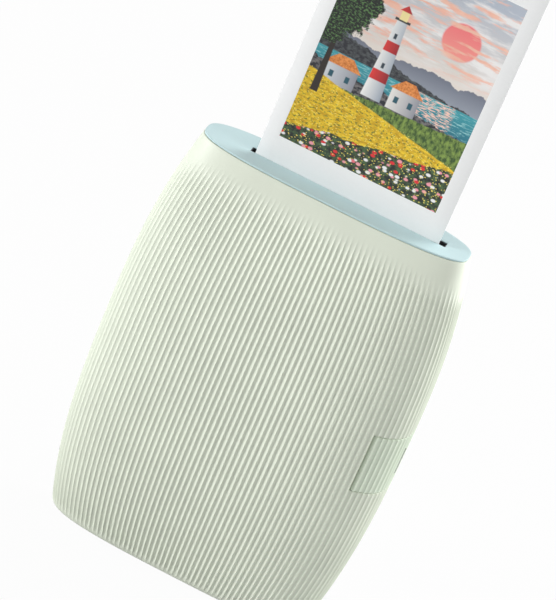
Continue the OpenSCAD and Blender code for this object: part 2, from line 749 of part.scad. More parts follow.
module film_door() {
  levels = concat([door_lo, door_lo + 0.5, door_lo + 1.6], barrel_lo,
    [button_lo, button_z, button_hi], barrel_hi, [door_hi]);
  insets = [1.1, 0.45];
  rows = [for (i = [0 : len(levels) - 1]) [levels[i], wall, i < len(insets) ? insets[i] : 0]];
  edge = door_cols * half_pitch - gap;
  cols = concat([quarter - edge],
    [for (i = [half_ribs - door_cols + 1 : half_ribs + door_cols - 1]) i * half_pitch],
    [quarter + edge]);
  web_h = 4;
  web_y = hinge_y - knuckle_r * 0.7;
  web_z = hinge_z + knuckle_r * 0.3;
  ear_slot = ear_t + 2 * gap;
  ear_room = knuckle_r + gap;
  bore_l = knuckle_l + gap;
  casing_colour() {
    difference() {
      union() {
        casing_panel(cols, rows);
        for (side = [-1, 1]) translate([side * knuckle_x - knuckle_l / 2, 0, 0]) {
          translate([0, hinge_y, hinge_z]) rotate([0, 90, 0])
            cylinder(r = knuckle_r, h = knuckle_l);
          translate([0, web_y, web_z])
            cube([knuckle_l, surface_y(knuckle_x, hinge_z + 2, wall / 2) - web_y, web_h]);
        }
      }
      for (side = [-1, 1]) translate([side * knuckle_x, hinge_y, hinge_z]) rotate([0, 90, 0]) {
        translate([0, 0, -bore_l / 2]) cylinder(r = pin_r + run, h = bore_l);
        for (end = [-1, 1])
          translate([-ear_room, -ear_room, end * (knuckle_l + ear_slot) / 2 - ear_slot / 2])
            cube([2 * ear_room, 2 * ear_room, ear_slot]);
      }
    }
  }
}

// Middle and width of the springs and hooks on the door's inner face
clip_x = 15;
clip_w = 8;
module door_pressure_springs() {
  z0 = body_h * 0.28;
  z1 = body_h * 0.72;
  seat_y = surface_y(clip_x + clip_w / 2, z0, wall) - 0.9;
  color(steel) for (side = [-1, 1])
    leaf_spring(side * clip_x - clip_w / 2, clip_w, z0, z1, seat_y, pack_y + pack_d + 0.3, 0.5);
}

hook_rise = 1.2;
hook_l = 6;
hook_t = 1.1;
module door_snap_hooks() {
  far_x = clip_x + clip_w / 2 + 1;
  hook_y = surface_y(far_x, door_frame_hi + hook_rise, wall) - 0.3 - hook_t;
  foot = surface_y(far_x, door_hi - hook_l + 2, wall) - hook_y - 0.1;
  color(frame_grey) for (side = [-1, 1])
    translate([side * clip_x - clip_w / 2, hook_y, door_hi - hook_l]) {
      cube([clip_w, hook_t, hook_l + gap + hook_rise]);
      cube([clip_w, foot, 2]);
    }
}

// ---- Power button ----

switch_y = 5;
switch_x = bay_right + bay_wall + seat_gap + board_t;
switch_h = 3.2;
switch_r = 1.3;
module power_button() {
  wing = button_travel + gap;
  levels = [button_lo + gap, button_z - light_h / 2, button_z + light_h / 2, button_hi - gap];
  rows = [for (z = levels) [z, wall, 0]];
  front_edge = button_cols_front * half_pitch - wing;
  back_edge = button_cols_back * half_pitch - wing;
  cols = concat([-front_edge],
    [for (i = [-button_cols_front + 2 : button_cols_back - 2])
      each i == light_col ? [light_s - light_w / 2, light_s + light_w / 2] : [i * half_pitch]],
    [back_edge]);
  slit = button_cols_front - 1 + light_col;
  stem_end = half_w(button_z) - wall / 2;
  casing_colour() {
    casing_panel(cols, rows, [[slit, slit + 1, 1, 2]]);
    translate([switch_x + switch_h - 0.3, switch_y, button_z]) rotate([0, 90, 0])
      cylinder(r = switch_r - 0.1, h = stem_end - switch_x - switch_h + 0.1);
  }
}

module status_light() {
  color([0.2, 0.22, 0.22])
    translate([half_w(button_z), light_s, button_z])
      rotate([0, 0, atan(light_s / half_d(button_z))])
        translate([-wall - 1, -light_w / 2 + 2 * run, -light_h / 2 + run])
          cube([wall + 0.9, light_w - 4 * run, light_h - 2 * run]);
}

module button_board() {
  strip_h = 16;
  strip_d = 14;
  strip_y = -5;
  switch_w = 6;
  lamp_w = 2;
  lamp_h = 3;
  lamp_t = 1;
  color(board_green) {
    translate([switch_x - board_t, strip_y, button_z - strip_h / 2])
      cube([board_t, strip_d, strip_h]);
    difference() {
      translate([switch_x - eps, switch_y - switch_w / 2, button_z - switch_w / 2])
        cube([switch_h, switch_w, switch_w]);
      translate([switch_x + switch_h - 1.2, switch_y, button_z]) rotate([0, 90, 0])
        cylinder(r = switch_r, h = 2);
    }
    translate([switch_x - eps, light_s - lamp_w / 2, button_z - lamp_h / 2])
      cube([lamp_t, lamp_w, lamp_h]);
  }
}

// ---- Electronics ----

module battery() {
  color([0.3, 0.45, 0.7]) {
    translate([battery_x, deck_y - seat_gap - battery_t, battery_z]) {
      cube([battery_w, battery_t, battery_h]);
      translate([4, 1, battery_h - eps]) cube([battery_w - 8, battery_t - 2, 1.2]);
    }
  }
}

// Place x and z on the board, width, height and thickness of each component
components = [[8, 8, 10, 10, 1.2], [22, 12, 7, 7, 1], [4, 1.5, 14, 3, 2], [25, 2, 8, 3, 1.6]];
module main_board() {
  board_x = battery_x + 14;
  board_z = pack_top - 3 - board_h;
  board_y = deck_y - seat_gap - board_t;
  color(board_green) translate([board_x, board_y, board_z]) {
    cube([board_w, board_t, board_h]);
    for (c = components) translate([c[0], -c[4], c[1]]) cube([c[2], c[4] + eps, c[3]]);
    for (i = [0 : 4]) translate([21 + i * 2.6, -0.6, 22]) cube([1.6, 0.6 + eps, 0.9]);
  }
}

front_shell();
rear_shell();
top_cap();
base_cap();
chassis();
chassis_screws();
gear_motor();
battery();
main_board();
exposure_head();
lens_array();
head_flex();
light_flap();
roller_bushes();
pinch_springs();
film_pack();
film_stack();
pack_spring();
usb_port();
usb_board();
button_board();
hinge_pins();
film_door();
door_pressure_springs();
door_snap_hooks();
drive_shaft();
drive_roller();
roller_gear();
pinch_roller();
upper_idler_gear();
lower_idler_gear();
motor_pinion();
print_sheet();
power_button();
status_light();
picker_claw();
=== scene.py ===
import math

import bpy
import numpy as np
from bpy.props import FloatProperty, FloatVectorProperty, PointerProperty
from mathutils import Matrix, Vector


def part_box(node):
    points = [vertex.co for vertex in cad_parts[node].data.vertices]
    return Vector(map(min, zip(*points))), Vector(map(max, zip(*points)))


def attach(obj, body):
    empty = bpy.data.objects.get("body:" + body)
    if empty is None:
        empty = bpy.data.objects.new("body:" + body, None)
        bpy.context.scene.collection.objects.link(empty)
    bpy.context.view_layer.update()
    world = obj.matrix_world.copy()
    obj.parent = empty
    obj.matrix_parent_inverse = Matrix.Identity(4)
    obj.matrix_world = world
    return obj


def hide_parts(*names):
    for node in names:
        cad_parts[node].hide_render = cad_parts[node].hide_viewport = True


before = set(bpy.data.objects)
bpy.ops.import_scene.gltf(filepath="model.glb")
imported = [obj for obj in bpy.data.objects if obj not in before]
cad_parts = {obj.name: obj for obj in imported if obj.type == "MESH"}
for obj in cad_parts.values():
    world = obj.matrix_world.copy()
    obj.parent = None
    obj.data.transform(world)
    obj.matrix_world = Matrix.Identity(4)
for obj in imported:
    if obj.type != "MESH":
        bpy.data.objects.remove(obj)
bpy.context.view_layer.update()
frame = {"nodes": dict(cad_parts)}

bl_info = {
    "name": "Compact photo printer",
    "version": (1, 0, 0),
    "blender": (4, 5, 0),
    "location": "3D View > Sidebar > Printer",
    "description": "Builds the looks of a compact photo printer round its packed solids",
    "category": "Object",
}

MM = 0.001


# ---- Sizes and colours ----


def length(name, description, millimetres):
    return FloatProperty(name=name, description=description, default=millimetres * MM, min=0.0,
                         subtype="DISTANCE", unit="LENGTH", precision=5)


def colour(name, description, value):
    return FloatVectorProperty(name=name, description=description, default=value, size=3,
                               min=0.0, max=1.0, subtype="COLOR")


class CasingSizes(bpy.types.PropertyGroup):
    height: length("Height", "Height of the casing without the print", 125)
    width: length("Width", "Width of the casing at mid height", 90)
    depth: length("Depth", "Depth of the casing at mid height", 34.6)
    end_width: length("End width", "Width of the casing at its top and bottom", 77.5)
    end_depth: length("End depth", "Depth of the casing at its top and bottom", 19)
    barrel_power: FloatProperty(name="Barrel power", description="Power of the barrel curve",
                                default=2.7, min=1.0, max=6.0)
    section_power: FloatProperty(name="Section power",
                                 description="Power of the rounded oblong section",
                                 default=3.0, min=2.0, max=6.0)
    wall: length("Wall", "Thickness of the casing's wall", 1.6)
    lip: length("Lip", "Thickness of the lip round the end caps", 0.45)
    seam: length("Seam", "Gap between the lip and an end cap", 0.16)
    step: length("Step", "Height of the top cap over the casing's upper edge", 0.62)
    cap: length("Cap", "Thickness of the end caps", 2)
    base_radius: length("Base radius", "Radius of the casing's lower edge", 3.2)
    gap: length("Gap", "Gap round the film door", 0.35)
    door_reach: length("Door reach", "From the rear's middle to the door's side", 39)
    door_corner: length("Door corner", "Height over the hinge that the door's edge sweeps", 1.4)
    ear: length("Hinge ear", "Thickness of the frame's hinge ears", 1.2)
    knuckle: length("Knuckle", "Length of a knuckle of the film door", 7.2)
    button_height: length("Button height", "Height of the power button's opening", 18.4)
    button_front: length("Button front", "How far the button wraps round the front", 16.8)
    button_back: length("Button back", "How far the button wraps round the rear", 9)
    button_gap: length("Button gap", "Gap over and under the power button", 0.2)
    button_travel: length("Button travel", "How far the power button is pressed in", 0.4)
    slot_room: length("Slot room", "Room in the slot beside the print, on either side", 1.7)
    slot_shift: length("Slot shift", "How far the slot lies off the print's middle", 0.2)
    slot_front: length("Slot front", "Room in the slot in front of the print", 0.1)
    slot_depth: length("Slot depth", "Depth of the slot", 2.9)


class RibSizes(bpy.types.PropertyGroup):
    pitch: length("Pitch", "Distance from one rib to the next", 1.6)
    flank: FloatProperty(name="Flank", description="Slope of a flute's flank beside its ridge",
                         default=math.radians(54), min=0.2, max=1.3, subtype="ANGLE",
                         unit="ROTATION")
    crest: FloatProperty(name="Crest", default=0.09, min=0.0, max=0.3, subtype="FACTOR",
                         description="Share of a half flute that rounds off its ridge")
    smooth_top: length("Smooth top", "Smooth band under the top edge, at the middle", 4)
    smooth_corner: length("Smooth corner", "Further smooth band at the upper corners", 5)
    fade_top: length("Upper fade", "Height in which the ribs fade in under the top edge", 7.5)
    smooth_base: length("Smooth base", "Smooth band over the lower edge", 1.4)
    fade_base: length("Lower fade", "Height in which the ribs fade out over the lower edge", 3.4)


class PrintSizes(bpy.types.PropertyGroup):
    side_border: length("Side border", "Border beside the picture", 4)
    low_border: length("Lower border", "Border under the picture", 17)
    picture: length("Picture height", "Height of the picture", 62)
    rim: length("Picture rim", "Width of the step round the picture", 0.12)
    recess: length("Recess", "Depth of the picture under the border", 0.06)
    back_edge: length("Back edge", "Pale edge round the print's dark back", 0.8)


class FinishColours(bpy.types.PropertyGroup):
    casing: colour("Casing", "Pale sage of the casing", (0.75, 0.80, 0.68))
    panel: colour("Button panel", "Sage of the button, a little greener", (0.73, 0.815, 0.675))
    cap: colour("Cap", "Pale blue of the top cap", (0.56, 0.74, 0.76))
    paper: colour("Print border", "White border of the print", (0.93, 0.94, 0.94))
    back: colour("Print back", "Dark back of the print", (0.028, 0.028, 0.03))
    frame: colour("Inner frame", "Grey of the inner frame", (0.30, 0.32, 0.33))
    # This black also serves as the painted shade on the print chute's lining inside the slot.
    black: colour("Black plastic", "Black of the film pack and the exposure head",
                  (0.020, 0.020, 0.022))


class StageSizes(bpy.types.PropertyGroup):
    azimuth: FloatProperty(name="Azimuth", description="Camera's turn towards the button's side",
                           default=math.radians(7.09), subtype="ANGLE", unit="ROTATION")
    elevation: FloatProperty(name="Elevation", description="Camera's angle over the horizon",
                             default=math.radians(27.157), subtype="ANGLE", unit="ROTATION")
    roll: FloatProperty(name="Roll", description="Camera's roll, which leans the printer over",
                        default=math.radians(23.461), subtype="ANGLE", unit="ROTATION")
    distance: length("Distance", "Distance of the camera from its target", 890.4)
    lens: FloatProperty(name="Lens", description="Focal length on a 36 mm sensor", default=199.55,
                        subtype="DISTANCE_CAMERA", unit="CAMERA")


# ---- The casing's curves ----


class Barrel:
    """The casing's outer surface, and places on it by arc length s round it and height z.

    s is measured on the section at mid height: 0 is the side with the button, minus the front.
    """

    def __init__(self, size, ribs):
        self.size = size
        self.ribs = ribs
        self.degrees = np.arange(91.0)
        across, out = self.direction(self.degrees)
        points = np.stack([size.width / 2 * across, size.depth / 2 * out], 1)
        steps = np.linalg.norm(np.diff(points, axis=0), axis=1)
        self.arc = np.concatenate([[0.0], np.cumsum(steps)])
        self.quarter = self.arc[-1]
        self.half_ribs = round(self.quarter / (ribs.pitch / 2))
        self.half_pitch = self.quarter / self.half_ribs

    def direction(self, degrees):
        power = self.size.section_power
        cosine, sine = np.cos(np.radians(degrees)), np.sin(np.radians(degrees))
        reach = (np.abs(cosine) ** power + np.abs(sine) ** power) ** (1 / power)
        return cosine / reach, sine / reach

    def angle(self, s):
        t = np.abs(s)
        near = np.interp(t, self.arc, self.degrees)
        far = 180 - np.interp(2 * self.quarter - t, self.arc, self.degrees)
        return np.sign(s) * np.where(t <= self.quarter, near, far)

    def halves(self, z):
        size = self.size
        bulge = np.abs(2 * z / size.height - 1) ** size.barrel_power
        below = np.clip(size.base_radius - z, 0, size.base_radius)
        rounding = size.base_radius - np.sqrt(size.base_radius**2 - below**2)
        return (size.width / 2 - (size.width - size.end_width) / 2 * bulge - rounding,
                size.depth / 2 - (size.depth - size.end_depth) / 2 * bulge - rounding)

    def place(self, s, z, inset):
        across, out = self.direction(self.angle(s))
        half_width, half_depth = self.halves(z)
        return np.stack([(half_width - inset) * across, (half_depth - inset) * out, z], 1)

    def front(self, x, z, inset=0.0):
        """How far the surface lies from the middle plane at the place x, z."""
        half_width, half_depth = self.halves(np.asarray(z, float))
        power = self.size.section_power
        share = 1 - (abs(x) / (half_width - inset)) ** power
        return float((half_depth - inset) * share ** (1 / power))

    def nearest_line(self, s):
        """The ridge, or the middle of a flute, that is nearest to an arc length."""
        return round(s / self.half_pitch) * self.half_pitch

    def relief(self, s, z):
        """Depth of the flutes between the ribs. A flute is a hollow arc between two narrow
        ridges. It fades in along an arched line under the top edge, and out over the base."""
        ribs = self.ribs
        corner = np.abs(np.cos(np.radians(self.angle(s)))) ** 4
        top = self.size.height - ribs.smooth_top - ribs.smooth_corner * corner
        share = smooth((top - z) / ribs.fade_top) * smooth((z - ribs.smooth_base) / ribs.fade_base)
        from_ridge = np.abs((s / self.half_pitch + 1) % 2 - 1)
        from_ridge = np.sqrt(from_ridge**2 + ribs.crest**2) - ribs.crest
        from_ridge = from_ridge / (math.sqrt(1 + ribs.crest**2) - ribs.crest)
        radius = self.half_pitch / math.sin(ribs.flank)
        hollow = np.sqrt(radius**2 - ((1 - from_ridge) * self.half_pitch) ** 2)
        return share * (hollow - radius * math.cos(ribs.flank))


def smooth(share):
    share = np.clip(share, 0, 1)
    return share * share * (3 - 2 * share)


def edge_roll(distance, radius):
    """How far a rounded edge falls off, at a distance from it."""
    inside = np.clip(radius - distance, 0, radius)
    return radius - np.sqrt(radius**2 - inside**2)


# ---- Modelling helpers ----


def deselect():
    if bpy.context.object and bpy.context.object.mode != "OBJECT":
        bpy.ops.object.mode_set(mode="OBJECT")
    bpy.ops.object.select_all(action="DESELECT")


def pick(piece):
    """Selects this piece alone."""
    deselect()
    piece.select_set(True)
    bpy.context.view_layer.objects.active = piece


def named(name):
    """The new primitive, under its own name."""
    piece = bpy.context.object
    piece.name = name
    piece.data.name = name
    return piece


def edit_faces(piece, test, action):
    """Runs an edit-mode action on the faces whose centre and normal pass the test."""
    pick(piece)
    bpy.ops.object.mode_set(mode="EDIT")
    bpy.ops.mesh.select_mode(type="FACE")
    bpy.ops.mesh.select_all(action="DESELECT")
    bpy.ops.object.mode_set(mode="OBJECT")
    for face in piece.data.polygons:
        face.select = bool(test(face.center, face.normal))
    bpy.ops.object.mode_set(mode="EDIT")
    action()
    bpy.ops.object.mode_set(mode="OBJECT")


def add_modifier(piece, kind, **values):
    """Adds a modifier with its values and applies it."""
    pick(piece)
    modifier = piece.modifiers.new(kind.title(), kind)
    for key, value in values.items():
        setattr(modifier, key, value)
    bpy.ops.object.modifier_apply(modifier=modifier.name)


def settle(piece):
    """Puts the piece's place into its mesh, so that its object sits at the origin."""
    pick(piece)
    bpy.ops.object.transform_apply(location=True, rotation=True, scale=True)


def shade(piece, degrees=40):
    pick(piece)
    bpy.ops.object.shade_smooth_by_angle(angle=math.radians(degrees))


def join(pieces, name):
    deselect()
    for piece in pieces:
        piece.select_set(True)
    bpy.context.view_layer.objects.active = pieces[0]
    bpy.ops.object.join()
    return named(name)


def block(name, low, high, bevel):
    """A block between two corners, in millimetres, with rounded edges."""
    deselect()
    low, high = Vector(low) * MM, Vector(high) * MM
    bpy.ops.mesh.primitive_cube_add(size=1, location=(low + high) / 2)
    piece = named(name)
    piece.dimensions = high - low
    settle(piece)
    if bevel:
        add_modifier(piece, "BEVEL", width=bevel * MM, segments=2, limit_method="ANGLE")
    return piece


def rod(name, centre, radius, span, axis, bevel):
    """A round bar along X or Y with rounded ends, in millimetres."""
    deselect()
    turn = {"X": (0, math.pi / 2, 0), "Y": (math.pi / 2, 0, 0)}[axis]
    bpy.ops.mesh.primitive_cylinder_add(vertices=40, radius=radius * MM, depth=span * MM,
                                        location=Vector(centre) * MM, rotation=turn)
    piece = named(name)
    settle(piece)
    if bevel:
        add_modifier(piece, "BEVEL", width=bevel * MM, segments=2, limit_method="ANGLE")
    return piece


def cut(piece, tool, operation="DIFFERENCE"):
    """Takes the tool's shape out of the piece, or joins it on with UNION."""
    add_modifier(piece, "BOOLEAN", operation=operation, object=tool, solver="EXACT")
    bpy.data.objects.remove(tool)


def finish_piece(piece, body, material, nodes=()):
    """Gives a piece its finish, its body and the nodes that it stands for."""
    if material is not None:
        piece.data.materials.clear()
        piece.data.materials.append(material)
    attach(piece, body)
    if nodes:
        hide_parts(*nodes)


def lines(values, borders, near):
    """Sorted grid lines: the borders, extra lines near them, and the values, none too close."""
    fixed = sorted(set(borders))
    extra = [border + side * step for border in fixed for step in near for side in (-1, 1)]
    kept = list(fixed)
    for value in extra + list(values):
        if fixed[0] < value < fixed[-1] and min(abs(value - k) for k in kept) > 0.03 * MM:
            kept.append(value)
    return np.array(sorted(kept))


def vertex_places(piece):
    places = np.empty(len(piece.data.vertices) * 3)
    piece.data.vertices.foreach_get("co", places)
    return places.reshape(-1, 3)


def ribbed_panel(name, barrel, s_lines, z_lines, windows=(), rim=0.2, side_rim=0.2, extra=None):
    """A panel of the ribbed casing. It is laid out flat, cut, given its wall, and then wrapped
    round the barrel. A window is its first and last s and its first and last z. The rims are the
    radii of its rounded edges in millimetres, and extra draws it in further by height."""
    hair = 0.03 * MM  # how far the ridges lie under the solid casing's surface
    deselect()
    columns, rows = len(s_lines) - 1, len(z_lines) - 1
    bpy.ops.mesh.primitive_grid_add(x_subdivisions=columns, y_subdivisions=rows, size=1)
    piece = named(name)
    flat = vertex_places(piece)
    flat[:, 0] = s_lines[np.rint((flat[:, 0] + 0.5) * columns).astype(int)]
    flat[:, 1] = z_lines[np.rint((flat[:, 1] + 0.5) * rows).astype(int)]
    piece.data.vertices.foreach_set("co", flat.ravel())
    if windows:
        edit_faces(piece, lambda centre, normal: any(
            w[0] < centre.x < w[1] and w[2] < centre.y < w[3] for w in windows),
            lambda: bpy.ops.mesh.delete(type="FACE"))
    size = barrel.size
    add_modifier(piece, "SOLIDIFY", thickness=size.wall, offset=-1)
    s, z, depth = vertex_places(piece).T
    inner = -depth / size.wall
    lip = (z < size.cap) | (z > size.height - size.cap)
    wall = np.where(lip, size.lip, size.wall)
    fall = edge_roll(np.minimum(s - s_lines[0], s_lines[-1] - s), side_rim * MM)
    fall = np.maximum(fall, edge_roll(z_lines[-1] - z, rim * MM))
    if z_lines[0] > size.base_radius:
        fall = np.maximum(fall, edge_roll(z - z_lines[0], rim * MM))
    for w in windows:
        away = np.maximum(np.maximum(w[0] - s, s - w[1]), np.maximum(w[2] - z, z - w[3]))
        fall = np.maximum(fall, edge_roll(np.maximum(away, 0), rim * MM))
    inset = hair + inner * wall + (1 - inner) * (fall + barrel.relief(s, z))
    if extra is not None:
        inset = inset + extra(z)
    piece.data.vertices.foreach_set("co", barrel.place(s, z, inset).ravel())
    piece.data.update()
    shade(piece, 62)
    return piece


# ---- Materials ----


def new_material(name):
    """A material with its shader and the object's coordinates."""
    material = bpy.data.materials.new(name)
    material.use_nodes = True
    nodes = material.node_tree.nodes
    return material, nodes["Principled BSDF"], nodes.new("ShaderNodeTexCoord").outputs["Object"]


def set_inputs(material, node, inputs):
    """Links or sets a node's inputs, by name or number."""
    for key, value in dict(inputs).items():
        if isinstance(value, bpy.types.NodeSocket):
            material.node_tree.links.new(value, node.inputs[key])
        else:
            node.inputs[key].default_value = value


def add_node(material, kind, inputs=(), **values):
    """A node with its values and inputs."""
    node = material.node_tree.nodes.new(kind)
    for key, value in values.items():
        setattr(node, key, value)
    set_inputs(material, node, inputs)
    return node


def mapped(material, place, inputs, **values):
    """The coordinates moved, turned or scaled."""
    return add_node(material, "ShaderNodeMapping", {"Vector": place, **inputs}, **values).outputs[0]


def noise(material, place, scale, detail=3.0, roughness=0.55):
    return add_node(material, "ShaderNodeTexNoise", {
        "Vector": place, "Scale": scale, "Detail": detail, "Roughness": roughness}).outputs[0]


def bands(material, place, pitch, axis):
    """Even bands along an axis."""
    return add_node(material, "ShaderNodeTexWave", {
        "Vector": place, "Scale": 1 / (20 * pitch), "Distortion": 0.0},
        wave_type="BANDS", bands_direction=axis).outputs[1]


def spread(material, value, low, high, start=0.3, end=0.7):
    """Maps a noise onto the range from low to high."""
    return add_node(material, "ShaderNodeMapRange", {
        "Value": value, "From Min": start, "From Max": end,
        "To Min": low, "To Max": high}).outputs[0]


def mix_colour(material, factor, first, second):
    """Colour socket between two colours or sockets."""
    return add_node(material, "ShaderNodeMix", {0: factor, 6: first, 7: second},
                    data_type="RGBA", clamp_factor=True).outputs[2]


def shades(material, mask, rgb, low, high):
    """A colour that a noise moves between two shades, given as shares of it."""
    dark, light = ((*[min(1.0, c * share) for c in rgb], 1.0) for share in (low, high))
    return mix_colour(material, spread(material, mask, 0, 1), dark, light)


def finished(material, shader, colour, roughness, height, strength, microns, **inputs):
    """Gives a material its colour, its roughness and its relief, and hands it back."""
    relief = add_node(material, "ShaderNodeBump", {
        "Strength": strength, "Distance": microns * MM / 1000, "Height": height}).outputs[0]
    set_inputs(material, shader, {"Base Color": colour, "Roughness": roughness,
                                  "Normal": relief, **inputs})
    return material


def moulded(name, rgb, roughness=0.5, grain=2600, vary=0.03):
    """Moulded plastic: fine spark-eroded grain, and faint cloudy change of shade and gloss."""
    material, shader, place = new_material(name)
    cloud = noise(material, place, 45, 2)
    fine = noise(material, place, grain, 3, 0.6)
    return finished(material, shader, shades(material, cloud, rgb, 1 - vary, 1 + vary),
                    spread(material, fine, roughness - 0.06, roughness + 0.06), fine, 0.5, 20)


def brushed(name, rgb, roughness=0.32, along=(1, 1, 0.03)):
    """Metal with fine brush marks along one axis."""
    material, shader, place = new_material(name)
    marks = noise(material, mapped(material, place, {"Scale": along}), 2200, 4, 0.7)
    cloud = noise(material, place, 90, 2)
    return finished(material, shader, shades(material, cloud, rgb, 0.9, 1.05),
                    spread(material, marks, roughness - 0.1, roughness + 0.12), marks, 0.35, 10,
                    Metallic=1.0)


def rubber(name, rgb):
    material, shader, place = new_material(name)
    grain = noise(material, place, 1800, 4, 0.7)
    return finished(material, shader, shades(material, grain, rgb, 0.8, 1.3), 0.75, grain, 0.6, 30)


def circuit_board(name):
    """Green solder mask over copper tracks, with bare pads."""
    material, shader, place = new_material(name)
    turned = mapped(material, place, {"Rotation": (math.pi / 2, 0, 0)})
    tracks = add_node(material, "ShaderNodeTexBrick", {
        "Vector": turned, "Scale": 1.0, "Mortar Size": 0.00016, "Mortar Smooth": 0.2,
        "Brick Width": 0.0061, "Row Height": 0.0013}, offset=0.37).outputs[1]
    pads = add_node(material, "ShaderNodeTexVoronoi", {"Vector": turned, "Scale": 420.0}).outputs[0]
    dots = add_node(material, "ShaderNodeMath", {0: pads, 1: 0.2}, operation="LESS_THAN").outputs[0]
    green = mix_colour(material, tracks, (0.012, 0.10, 0.045, 1), (0.03, 0.21, 0.10, 1))
    return finished(material, shader, mix_colour(material, dots, green, (0.55, 0.50, 0.36, 1)),
                    0.28, tracks, 0.4, 30)


def shrink_wrap(name, rgb):
    material, shader, place = new_material(name)
    wrinkle = noise(material, mapped(material, place, {"Scale": (1, 1, 4)}), 160, 3)
    return finished(material, shader, shades(material, wrinkle, rgb, 0.85, 1.15), 0.22,
                    wrinkle, 0.5, 120)


def striped_film(name, first, second, pitch):
    """Amber flex with copper conductors along its length."""
    material, shader, place = new_material(name)
    strip = spread(material, bands(material, place, pitch, "Y"), 0, 1, 0.45, 0.6)
    return finished(material, shader, mix_colour(material, strip, (*first, 1), (*second, 1)),
                    0.25, strip, 0.3, 20)


def layered_film(name):
    """Edges of the prints in the pack."""
    material, shader, place = new_material(name)
    wave = bands(material, place, 0.45 * MM, "Y")
    colour = mix_colour(material, spread(material, wave, 0, 1), (0.35, 0.36, 0.36, 1),
                        (0.85, 0.86, 0.85, 1))
    return finished(material, shader, colour, 0.3, wave, 0.5, 50)


def smoked_window(name):
    """Smoked clear plastic with nothing lit behind it."""
    material, shader, place = new_material(name)
    haze = noise(material, place, 700, 2)
    set_inputs(material, shader, {
        "Base Color": mix_colour(material, haze, (0.010, 0.012, 0.012, 1), (0.03, 0.034, 0.034, 1)),
        "Roughness": 0.3, "Specular IOR Level": 0.15})
    return material


def lens_glass(name):
    """A row of rod lenses under a glossy coat."""
    material, shader, place = new_material(name)
    wave = bands(material, place, 0.9 * MM, "X")
    colour = mix_colour(material, wave, (0.10, 0.13, 0.16, 1), (0.25, 0.30, 0.34, 1))
    return finished(material, shader, colour, 0.05, wave, 0.6, 100, **{"Coat Weight": 1.0})


def paper(name, rgb):
    """Glossy coated border of an instant print, with faint fibres."""
    material, shader, place = new_material(name)
    fibre = noise(material, place, 1500, 4, 0.7)
    return finished(material, shader, shades(material, fibre, rgb, 0.985, 1.01), 0.32,
                    fibre, 0.15, 10)


# ---- The picture on the print ----


class Painter:
    """Paints a picture in layers, from the back to the front. Places are in millimetres from
    the picture's middle, and a mask is 1 where a layer covers what lies behind it."""

    def __init__(self, material, flat):
        self.material, self.flat = material, flat
        parts = add_node(material, "ShaderNodeSeparateXYZ", {0: flat}).outputs
        self.across, self.up = parts[0], parts[2]
        self.seen = None

    def math(self, operation, first, second=0.0, third=0.0):
        return add_node(self.material, "ShaderNodeMath", {0: first, 1: second, 2: third},
                        operation=operation).outputs[0]

    def ramp(self, value, start, end):
        return spread(self.material, value, 0, 1, start, end)

    def grain(self, wide, high, seed=0.0, detail=5.0):
        """Cloudy noise with patches of about this size. A height of 0 makes it a skyline."""
        place = mapped(self.material, self.flat, {
            "Location": (seed, seed, 0.0), "Scale": (1 / wide, 0.0, 1 / high if high else 0.0)})
        return noise(self.material, place, 1.0, detail, 0.6)

    def patches(self, wide, high, seed, start, end):
        """Patches of about this size, where the noise rises from the start to the end."""
        return self.ramp(self.grain(wide, high, seed), start, end)

    def blend(self, factor, first, second):
        first, second = ((*c, 1.0) if isinstance(c, tuple) else c for c in (first, second))
        return mix_colour(self.material, factor, first, second)

    def below(self, height, swing=0.0, wide=10.0, slope=0.0, seed=0.0, soft=0.12):
        """What lies under a wavy line."""
        line = self.math("MULTIPLY_ADD", self.grain(wide, 0, seed), 2 * swing, height - swing)
        line = self.math("MULTIPLY_ADD", self.across, slope, line)
        return self.ramp(self.math("SUBTRACT", line, self.up), -soft, soft)

    def oval(self, across, up, wide, high, rough=0.0, patch=1.5, soft=0.05):
        """An oval, whose rim is broken up by noise if it is rough."""
        place = mapped(self.material, self.flat, {
            "Location": (across, 0, up), "Scale": (wide, 1e6, high)}, vector_type="TEXTURE")
        reach = add_node(self.material, "ShaderNodeVectorMath", {0: place},
                         operation="LENGTH").outputs["Value"]
        if rough:
            reach = self.math("MULTIPLY_ADD", self.grain(patch, patch, across), rough, reach)
            reach = self.math("SUBTRACT", reach, rough / 2)
        return self.ramp(reach, 1 + soft, 1 - soft)

    def wedge(self, across, up, wide, high, taper=0.0, soft=0.1):
        """An upright shape of this half width and half height, narrower towards its top."""
        side = self.math("ABSOLUTE", self.math("SUBTRACT", self.across, across))
        side = self.math("MULTIPLY_ADD", self.up, taper, side)
        side = self.math("SUBTRACT", side, wide + taper * up)
        end = self.math("ABSOLUTE", self.math("SUBTRACT", self.up, up))
        end = self.math("SUBTRACT", end, high)
        return self.ramp(self.math("MAXIMUM", side, end), soft, -soft)

    def flowers(self, size, share, seed=0.0):
        """Round dots, each of a shade of its own: their mask, and a number for their colour."""
        place = mapped(self.material, self.flat, {
            "Location": (seed, 0, 0), "Scale": (1 / size, 0.0, 1.5 / size)})
        dots = add_node(self.material, "ShaderNodeTexVoronoi", {"Vector": place, "Scale": 1.0})
        number = add_node(self.material, "ShaderNodeSeparateColor",
                          {0: dots.outputs["Color"]}).outputs[0]
        return self.ramp(dots.outputs["Distance"], share, share - 0.12), number

    def both(self, *masks):
        total = masks[0]
        for mask in masks[1:]:
            total = self.math("MULTIPLY", total, mask)
        return total

    def lay(self, mask, colour):
        self.seen = self.blend(mask, self.seen, colour)


